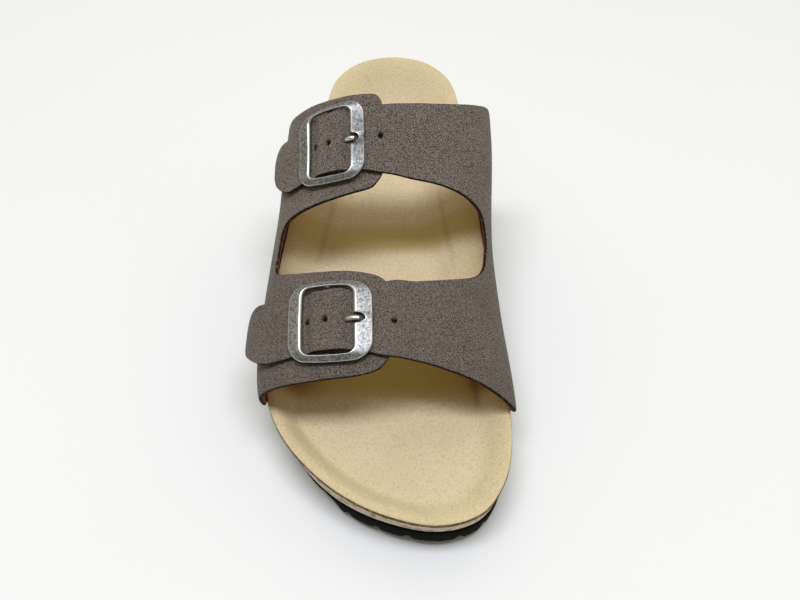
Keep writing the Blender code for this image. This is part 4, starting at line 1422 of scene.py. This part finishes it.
    def build_outsole(self) -> None:
        """Rubber sole: top, a softly bulged side, a lower edge notched all round, and a ribbed tread."""
        notch = self.notches()
        upper, lower = self.sole_insets()
        swell, draw = self.bulge
        x, station = RIM.inner(np.linspace(0.0, 1.0, self.hidden_columns), self.sole_lip)
        blocks = [place(x, station, GROUND.top(station))]
        for way in np.linspace(0.0, 1.0, self.side_rows):
            bulge = swell * math.sin(math.pi * way) - draw * (1 - ease(way, 0.0, self.corner))
            inset = upper + (lower - upper) * way - bulge
            station = RIM.inset(inset)[1]
            low, high = GROUND.under(station) + notch, GROUND.top(station)
            blocks.append(self.around(inset, high + (low - high) * way))
        for way in np.linspace(0.0, 1.0, self.scallop_rows)[1:]:
            inset = lower + (self.edge_insets[1] + self.scallop_reach - lower) * way
            fade = 1 - ease(way, self.scallop_fade, 1.0)
            blocks.append(self.around(inset, GROUND.under(RIM.inset(inset)[1]) + notch * fade))
        blocks.append(self.tread())
        self.carried("notched_outsole", blocks, Finish.RUBBER).build("outsole", ["outsole"])


class Side(Enum):
    """The two halves of the upper."""

    MEDIAL = "medial"
    LATERAL = "lateral"


@dataclass
class UpperHalf:
    """One half of the upper: two straps joined by a band along the sole, cut from one piece.

    Attributes:
        side: which half.
        cut: rows of the front strap, the band and the rear strap.
        folds: soft folds laid on it.
        leather: thickness.
        shoulder: radius of the rounded outer edge.
        girth_unit: millimetres that one girth measures, about.
        buckle_girths: girths between which rows lie closer.
        over_tab: how far a strap stands off where it lies on the other half's tab.
        tab_step: girths over which it comes down beside the tab.
        bar_hump: millimetres along over which it comes down beside the centre bar.
        hole_rim: how far inside and outside its radius a hole's rim reaches.
    """

    side: Side
    cut: Sequence[Sequence[CutRow]]
    folds: Sequence[Fold]
    leather: float = 2.0
    shoulder: float = 0.4
    edge_bulge: float = 0.22
    edge_steps: int = 5
    columns: int = 58
    fine_step: float = 0.45
    coarse_step: float = 1.3
    girth_unit: float = 95.0
    buckle_girths: Pair = (1.40, 2.16)
    over_tab: float = 2.6
    over_bar: float = 4.8
    tab_step: Pair = (2.0, 2.13)
    bar_hump: Pair = (4.8, 9.0)
    tail_rise: float = 0.3
    hole_start: float = 7.8
    hole_pitch: float = 8.2
    hole_radius: float = 1.2
    hole_depth: float = 1.7
    holes_each_way: int = 2
    hole_rim: Pair = (0.3, 0.15)
    deepest_fold: float = 0.25

    def rows(self) -> Array:
        """Fine rows of the cut: smooth lines through each table's columns, closer near the buckles."""
        parts = []
        for table in self.cut:
            values = np.array(table, float)
            steps = np.abs(np.diff(values, axis=0))
            outer = np.hypot(steps[:, 0] * self.girth_unit, steps[:, 1])
            inner = np.hypot(steps[:, 2] * self.girth_unit, steps[:, 3])
            middle = (values[:-1, 0] + values[1:, 0]) / 2
            near = (middle > self.buckle_girths[0]) & (middle < self.buckle_girths[1])
            fine = np.where(near & (self.side is Side.MEDIAL), self.fine_step, self.coarse_step)
            counts = np.ceil(np.maximum(outer, inner) / fine).astype(int)
            spots = [np.linspace(i, i + 1, n, endpoint=False) for i, n in enumerate(counts)]
            at = np.concatenate([*spots, [len(table) - 1.0]])
            knots = np.arange(len(table), dtype=float)
            part = np.column_stack([smooth(knots, line, at) for line in values.T])
            parts.append(part if not parts else part[1:])
        return np.vstack(parts)

    def sheet(self) -> Arrays:
        """Girth and station of every point of the sheet, straight across each row, closer at both edges."""
        rows = self.rows()
        even = np.linspace(0.0, 1.0, self.columns)
        share = 0.5 * even + 0.5 * (1 - np.cos(np.pi * even)) / 2
        girth = rows[:, :1] + (rows[:, 2:3] - rows[:, :1]) * share
        station = rows[:, 1:2] + (rows[:, 3:4] - rows[:, 1:2]) * share
        return girth, station

    def lift(self, seat: BuckleSeat, girth: Array) -> Array:
        """How far the strap stands off the foot: over the tab, over the centre bar and at its end."""
        over_tab = self.over_tab * (1 - ease(girth, *self.tab_step))
        over_bar = (self.over_bar - self.over_tab) * (1 - ease(np.abs(seat.along(girth)), *self.bar_hump))
        loose = seat.tail_lift * (1 - ease(girth, seat.tail_girth - self.tail_rise, seat.tail_girth))
        return over_tab + over_bar + loose

    def creases(self, girth: Array, station: Array) -> Array:
        """Sum of the folds: each is a bell across its line and a bell along it."""
        height = np.zeros_like(girth)
        for fold in self.folds:
            around = (girth - fold.girth) * self.girth_unit
            along = station - fold.station
            turn = math.radians(fold.turn)
            run = around * math.cos(turn) + along * math.sin(turn)
            off = along * math.cos(turn) - around * math.sin(turn)
            height = height + fold.height * bell(run, fold.length) * bell(off, fold.width)
        return height

    def holes(self, seat: BuckleSeat, girth: Array, station: Array) -> Array:
        """Mask of the punched holes: 1 inside, falling to 0 over the hole's rim."""
        along, across = seat.along(girth), seat.across(girth, station)
        number = np.round((along - self.hole_start) / self.hole_pitch)
        number = np.clip(number, -self.holes_each_way, self.holes_each_way)
        away = np.hypot(along - self.hole_start - number * self.hole_pitch, across)
        inside, outside = self.hole_rim
        return 1 - ease(away, self.hole_radius - inside, self.hole_radius + outside)

    @staticmethod
    def border(points: Array) -> Array:
        """Distance of each point of a sheet from its nearest edge, measured along rows and columns."""
        across = np.linalg.norm(np.diff(points, axis=1), axis=-1)
        across = np.concatenate([np.zeros((len(points), 1)), np.cumsum(across, axis=1)], axis=1)
        along = np.linalg.norm(np.diff(points, axis=0), axis=-1)
        along = np.concatenate([np.zeros((1, points.shape[1])), np.cumsum(along, axis=0)], axis=0)
        sides = [across, across[:, -1:] - across, along, along[-1:] - along]
        return np.minimum.reduce(sides)

    @staticmethod
    def rounding(border: Array, radius: float) -> Array:
        """Drop of a quarter-round edge at a distance from the border."""
        reach = radius - np.minimum(border, radius)
        return radius - np.sqrt(np.maximum(radius**2 - reach**2, 0.0))

    @staticmethod
    def ring(rows: int, columns: int) -> Arrays:
        """Point numbers round a sheet's border, and of each one's neighbour further in."""
        number = np.arange(rows * columns).reshape(rows, columns)
        along, across = (np.clip(np.arange(count), 1, count - 2) for count in (rows, columns))
        inside = number[along][:, across]
        walks = ([grid[0], grid[1:, -1], grid[-1, -2::-1], grid[-2:0:-1, 0]] for grid in (number, inside))
        border, neighbours = map(np.concatenate, walks)
        return border, neighbours

    def build(self) -> None:
        """Builds the half as a closed wall: grain side, lining side and the cut edge round them."""
        girth, station = self.sheet()
        above = np.maximum(self.creases(girth, station), -self.deepest_fold)
        pit = np.zeros_like(girth)
        if self.side is Side.MEDIAL:
            front = station > (FRONT_SEAT.station + REAR_SEAT.station) / 2
            above = above + np.where(front, *(self.lift(seat, girth) for seat in (FRONT_SEAT, REAR_SEAT)))
            pit = np.where(front, *(self.holes(seat, girth, station) for seat in (FRONT_SEAT, REAR_SEAT)))
        border = self.border(FOOT.offset(station, girth, above))
        drop = self.rounding(border, self.shoulder)
        grain_side = FOOT.offset(station, girth, above + self.leather - drop - self.hole_depth * pit)
        lining_side = FOOT.offset(station, girth, above + self.rounding(border, self.shoulder / 2))
        self.close(grain_side, lining_side, border, pit)

    def close(self, grain_side: Array, lining_side: Array, border: Array, pit: Array) -> None:
        """Joins the two sides by a cut edge that bulges out a little as a half sine.

        Args:
            grain_side: points of the outer face.
            lining_side: points of the inner face.
            border: distance of each point from the sheet's edge.
            pit: mask of the punched holes.
        """
        rows, columns = border.shape
        size = rows * columns
        ring, inside = self.ring(rows, columns)
        outer, inner = grain_side.reshape(-1, 3), lining_side.reshape(-1, 3)
        out = unit(inner[ring] - inner[inside])
        depths = np.linspace(0.0, 1.0, self.edge_steps + 1)[1:-1]
        edges = [
            outer[ring] + (inner[ring] - outer[ring]) * q + out * self.edge_bulge * math.sin(math.pi * q)
            for q in depths
        ]
        points = np.vstack([outer, inner, *edges])
        sheet = strip_faces(rows, columns)
        between = 2 * size + np.arange(len(depths) * len(ring)).reshape(len(depths), len(ring))
        lines = [ring, *between, ring + size]
        edge_faces = [
            np.column_stack([a, np.roll(a, -1), np.roll(b, -1), b]) for a, b in zip(lines, lines[1:])
        ]
        faces = np.vstack([sheet, sheet[:, ::-1] + size, *edge_faces])
        finish = np.repeat([0, 2, 1], [len(sheet), len(sheet), len(faces) - 2 * len(sheet)])
        none = np.zeros(len(depths) * len(ring))
        stored = {
            "border": np.concatenate([border.ravel(), border.ravel(), none]),
            "pit": np.concatenate([pit.ravel(), pit.ravel() * 0, none]),
            "depth": np.concatenate([np.zeros(size), np.ones(size), np.repeat(depths, len(ring))]),
        }
        name = f"strap_{self.side.value}"
        finishes = (Finish.NUBUCK, Finish.EDGE, Finish.LINING)
        Piece(name, points, faces, finishes, finish, stored).build("nubuck", [f"upper_{self.side.value}"])


@dataclass
class Buckle:
    """A pin buckle: an arched square frame with a centre bar, and a prong through the strap.

    Attributes:
        seat: where it sits.
        half: half of the frame's length along the strap.
        side_half: half of its width across the strap, at its ends.
        bow: how much wider it is in the middle.
        end_bar: width of the two bars that cross the strap.
        side_bar: width of the two bars beside the strap.
        side_slope: how much thinner these are along their outer edge.
        climb: distances from the centre over which bars rise from the side base to the end base.
        tarnish: how dark the notch's wall (tarnished and in painted shade) and the centre bar are painted.
        bar_flat: how many times wider than high the centre bar is.
        bar_rise: how far its ends rise, and the distances across over which they do.
        bar_point: power that draws its ends to points; the higher, the blunter.
        prong_taper: the prong's thickness at its root, and how much of it is lost to the tip.
        middle_draw: power that draws a straight's points towards its middle.
    """

    seat: BuckleSeat
    half: float = 17.0
    side_half: float = 15.9
    bow: float = 1.5
    corner: float = 7.0
    end_bar: float = 6.6
    side_bar: float = 2.8
    inner_corner: float = 3.0
    thickness: float = 2.1
    side_slope: float = 1.4
    slope_end: float = 1.0
    end_base: float = 5.2
    side_base: float = 4.8
    climb: Pair = (2.0, 10.0)
    notch_depth: float = 4.0
    notch_half: float = 2.4
    notch_centre: float = 1.6
    tarnish: Pair = (0.95, 0.6)
    notch_ring_soft: float = 0.3
    worn_up: float = 0.9
    bar_radius: float = 0.8
    bar_flat: float = 1.8
    bar_level: float = 3.5
    bar_rise: tuple[float, float, float] = (1.9, 13.2, 14.5)
    bar_point: int = 24
    bar_rows: int = 61
    bar_sides: int = 12
    prong_radius: float = 1.1
    prong_taper: Pair = (1.05, 0.2)
    prong_round: float = 0.12
    prong_wear_and_highlight: Pair = (0.2, 0.9)
    prong_rows: int = 60
    prong_sides: int = 24
    side_steps: int = 48
    corner_steps: int = 14
    middle_draw: float = 1.3

    def build(self) -> None:
        """Builds the frame and the prong."""
        self.build_frame()
        self.build_prong()

    def cast(self, kind: str, points: Array, faces: Array, stored: dict[str, Array]) -> None:
        """Makes the metal piece of this kind, named for its seat."""
        piece = Piece(f"{kind}_{self.seat.name}", points, faces, (Finish.PEWTER,), stored=stored)
        piece.build("pewter", [f"buckle_{self.seat.name}_{kind}"])

    def square(self, along: float, across: float, corner: float) -> Array:
        """Points round a rectangle with rounded corners and bowed sides, the same number for any size."""
        even = np.linspace(-1.0, 1.0, self.side_steps)[1:-1]
        spread = np.sign(even) * np.abs(even) ** self.middle_draw
        turn = np.linspace(0.0, math.pi / 2, self.corner_steps)
        parts = []
        for quarter in range(4):
            a, b = (along, across) if quarter % 2 == 0 else (across, along)
            straight = np.column_stack([np.full(len(spread), a), spread * (b - corner)])
            arc = np.column_stack([a - corner + corner * np.cos(turn), b - corner + corner * np.sin(turn)])
            angle = quarter * math.pi / 2
            spin = np.array([[math.cos(angle), math.sin(angle)], [-math.sin(angle), math.cos(angle)]])
            parts.append(np.vstack([straight, arc]) @ spin)
        points = np.vstack(parts)
        points[:, 1] *= 1 + self.bow * (1 - (points[:, 0] / self.half) ** 2) / across
        return points

    def build_frame(self) -> None:
        """Frame: a bevelled bar section between an outer and an inner rounded square, laid on the strap.

        The end bars stand a little higher than the side bars, whose tops slope down to the outside.
        """
        outer = self.square(self.half, self.side_half, self.corner)
        inner = self.square(self.half - self.end_bar, self.side_half - self.side_bar, self.inner_corner)
        notch = self.notch_depth * np.sqrt(np.clip(1 - (inner[:, 1] / self.notch_half) ** 2, 0, 1))
        inner[:, 0] += np.where(inner[:, 0] > 0, notch, 0)
        side, up, wear = np.array(SECTION).T
        plan = outer[:, None] + (inner - outer)[:, None] * ((side + 1) / 2)[:, None]
        base = self.side_base + (self.end_base - self.side_base) * ease(np.abs(plan[..., 0]), *self.climb)
        beside = 1 - ease(np.abs(outer[:, 0]), self.half - self.corner, self.half - self.slope_end)
        slope = self.side_slope * beside[:, None] * (1 - side) / 2
        ring = self.seat.at(plan[..., 0], plan[..., 1], base + (self.thickness - slope) * up)
        ring = np.concatenate([ring, ring[:, :1]], axis=1)
        wear = np.broadcast_to(np.append(wear, wear[0]), ring.shape[:2])
        # Darkness round the notch's wall: tarnished metal with painted shade.
        middle = self.half - self.end_bar + self.notch_centre
        from_notch = np.hypot(plan[..., 0] - middle, plan[..., 1])
        soft = (self.notch_half - self.notch_ring_soft, self.notch_half + self.notch_ring_soft)
        wall_tarnish_and_shade, bar_darkness = self.tarnish
        tarnish = wall_tarnish_and_shade * (1 - ease(from_notch, *soft)) * (up < self.worn_up)
        tarnish = np.concatenate([tarnish, tarnish[:, :1]], axis=1)
        bar, bar_faces = self.centre_bar()
        stored = {
            "wear": np.concatenate([wear.ravel(), np.zeros(len(bar))]),
            "tarnish": np.concatenate([tarnish.ravel(), np.full(len(bar), bar_darkness)]),
        }
        faces = strip_faces(*ring.shape[:2], round_rows=True)
        faces = np.vstack([faces, bar_faces + wear.size])
        points = np.vstack([ring.reshape(-1, 3), bar])
        self.cast("frame", points, faces, stored)

    def centre_bar(self) -> Arrays:
        """Round centre bar under the strap; its ends rise to the side bars and are drawn to points."""
        reach = np.linspace(-1.0, 1.0, self.bar_rows)
        radius = self.bar_radius * np.sqrt(np.clip(1 - np.abs(reach) ** self.bar_point, 0, 1))
        turn = np.linspace(0.0, 2 * math.pi, self.bar_sides + 1)
        along = radius[:, None] * np.cos(turn) * self.bar_flat
        end = self.side_half + self.bow - self.side_bar / 2
        across = np.broadcast_to(reach[:, None] * end, along.shape)
        rise, low, high = self.bar_rise
        above = self.bar_level + radius[:, None] * np.sin(turn) + rise * ease(np.abs(across), low, high)
        points = self.seat.at(along, across, above)
        return points.reshape(-1, 3), strip_faces(*points.shape[:2])

    def build_prong(self) -> None:
        """Prong: a tube along its side view, thinner to the tip, with round ends."""
        knots = np.arange(len(PRONG), dtype=float)
        way = np.linspace(0.0, 1.0, self.prong_rows)
        along, above = (smooth(knots, column(PRONG, name), way * knots[-1]) for name in ProngPoint._fields)
        slope = np.arctan2(np.gradient(above), np.gradient(along))
        past = np.maximum(np.abs(2 * way - 1) - (1 - self.prong_round), 0) / self.prong_round
        thick, lost = self.prong_taper
        radius = self.prong_radius * (thick - lost * way) * np.sqrt(np.clip(1 - past**2, 0, 1))
        turn = np.linspace(0.0, 2 * math.pi, self.prong_sides + 1)
        side, up = radius[:, None] * np.cos(turn), radius[:, None] * np.sin(turn)
        back, rise = up * np.sin(slope)[:, None], up * np.cos(slope)[:, None]
        points = self.seat.at(along[:, None] - back, side, above[:, None] + rise)
        # The prong's upper side is painted brighter: a painted highlight along its top, with wear.
        stored = {"wear": np.broadcast_to(ease(np.sin(turn), *self.prong_wear_and_highlight), points.shape[:2])}
        faces = strip_faces(*points.shape[:2])
        self.cast("prong", points.reshape(-1, 3), faces, stored)


@dataclass
class Studio:
    """Pale floor, soft light from above and the camera of the photograph.

    Attributes:
        camera_place: camera in the drawing frame, in millimetres.
        tilt: camera's turn up from looking straight down, in degrees.
        lens: focal length, in millimetres.
        sensor: width of the picture behind the lens, in millimetres.
        sky_slope: how much more light comes from the big-toe side, from behind and from above.
        key_place: place of the light over the sandal, in metres.
    """

    camera_place: tuple[float, float, float] = (4.0, -294.4, 375.85)
    tilt: float = 37.685
    lens: float = 42.75
    sensor: float = 36.0
    floor_half: float = 4.0
    sky: float = 0.30
    sky_slope: tuple[float, float, float] = (0.02, 0.34, 0.30)
    sky_colour: Colour = (1.0, 0.95, 0.76)
    key_colour: Colour = (1.0, 1.045, 1.19)
    key_place: tuple[float, float, float] = (-0.04, -0.25, 2.0)
    key_size: Pair = (1.6, 0.45)
    key_power: float = 27.4

    def build(self) -> None:
        """Sets the stage."""
        self.build_floor()
        self.build_lights()
        self.build_camera()

    def build_floor(self) -> None:
        """A level sheet, its corners far outside the view."""
        half = self.floor_half
        mesh = bpy.data.meshes.new("floor")
        corners = [(-half, -half, 0.0), (half, -half, 0.0), (half, half, 0.0), (-half, half, 0.0)]
        mesh.from_pydata(corners, [], [(0, 1, 2, 3)])
        mesh.materials.append(Finish.FLOOR.material())
        floor = bpy.data.objects.new("floor", mesh)
        bpy.context.scene.collection.objects.link(floor)

    def build_lights(self) -> None:
        """A pale world, brighter above and behind the heel, and one long light over the sandal."""
        sky = Sky("studio")
        way = sky.node("ShaderNodeTexCoord").outputs["Generated"]
        slope = sky.node("ShaderNodeVectorMath", {"operation": "DOT_PRODUCT"}, {0: way, 1: self.sky_slope})
        level = sky.node("ShaderNodeMath", {"use_clamp": True}, {0: slope.outputs["Value"], 1: self.sky})
        scene = bpy.context.scene
        scene.world = sky.finish(Color=self.sky_colour, Strength=level.outputs[0])
        lamp = bpy.data.lights.new("overhead", "AREA")
        lamp.shape = "RECTANGLE"
        lamp.size, lamp.size_y = self.key_size
        lamp.energy = self.key_power
        lamp.color = self.key_colour
        key = bpy.data.objects.new("overhead", lamp)
        key.location = self.key_place
        scene.collection.objects.link(key)

    def build_camera(self) -> None:
        """A camera that looks along +Y and down at the sandal."""
        data = bpy.data.cameras.new("camera")
        data.sensor_width = self.sensor
        data.lens = self.lens
        camera = bpy.data.objects.new("camera", data)
        camera.location = (np.array(self.camera_place) + SHIFT) * METRES
        camera.rotation_euler = (math.radians(self.tilt), 0.0, 0.0)
        scene = bpy.context.scene
        scene.collection.objects.link(camera)
        scene.camera = camera
        scene.view_settings.view_transform = "Standard"


def main() -> None:
    """Builds the sandal piece by piece, then the stage."""
    logging.basicConfig(level=logging.INFO, format="%(name)s %(message)s")
    LOG.info("frame: %d nodes to replace", len(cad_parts))
    Sole().build()
    UpperHalf(Side.LATERAL, LATERAL_CUT, LATERAL_FOLDS).build()
    UpperHalf(Side.MEDIAL, MEDIAL_CUT, MEDIAL_FOLDS).build()
    for seat in (FRONT_SEAT, REAR_SEAT):
        Buckle(seat).build()
    Studio().build()


if __name__ == "__main__":
    main()
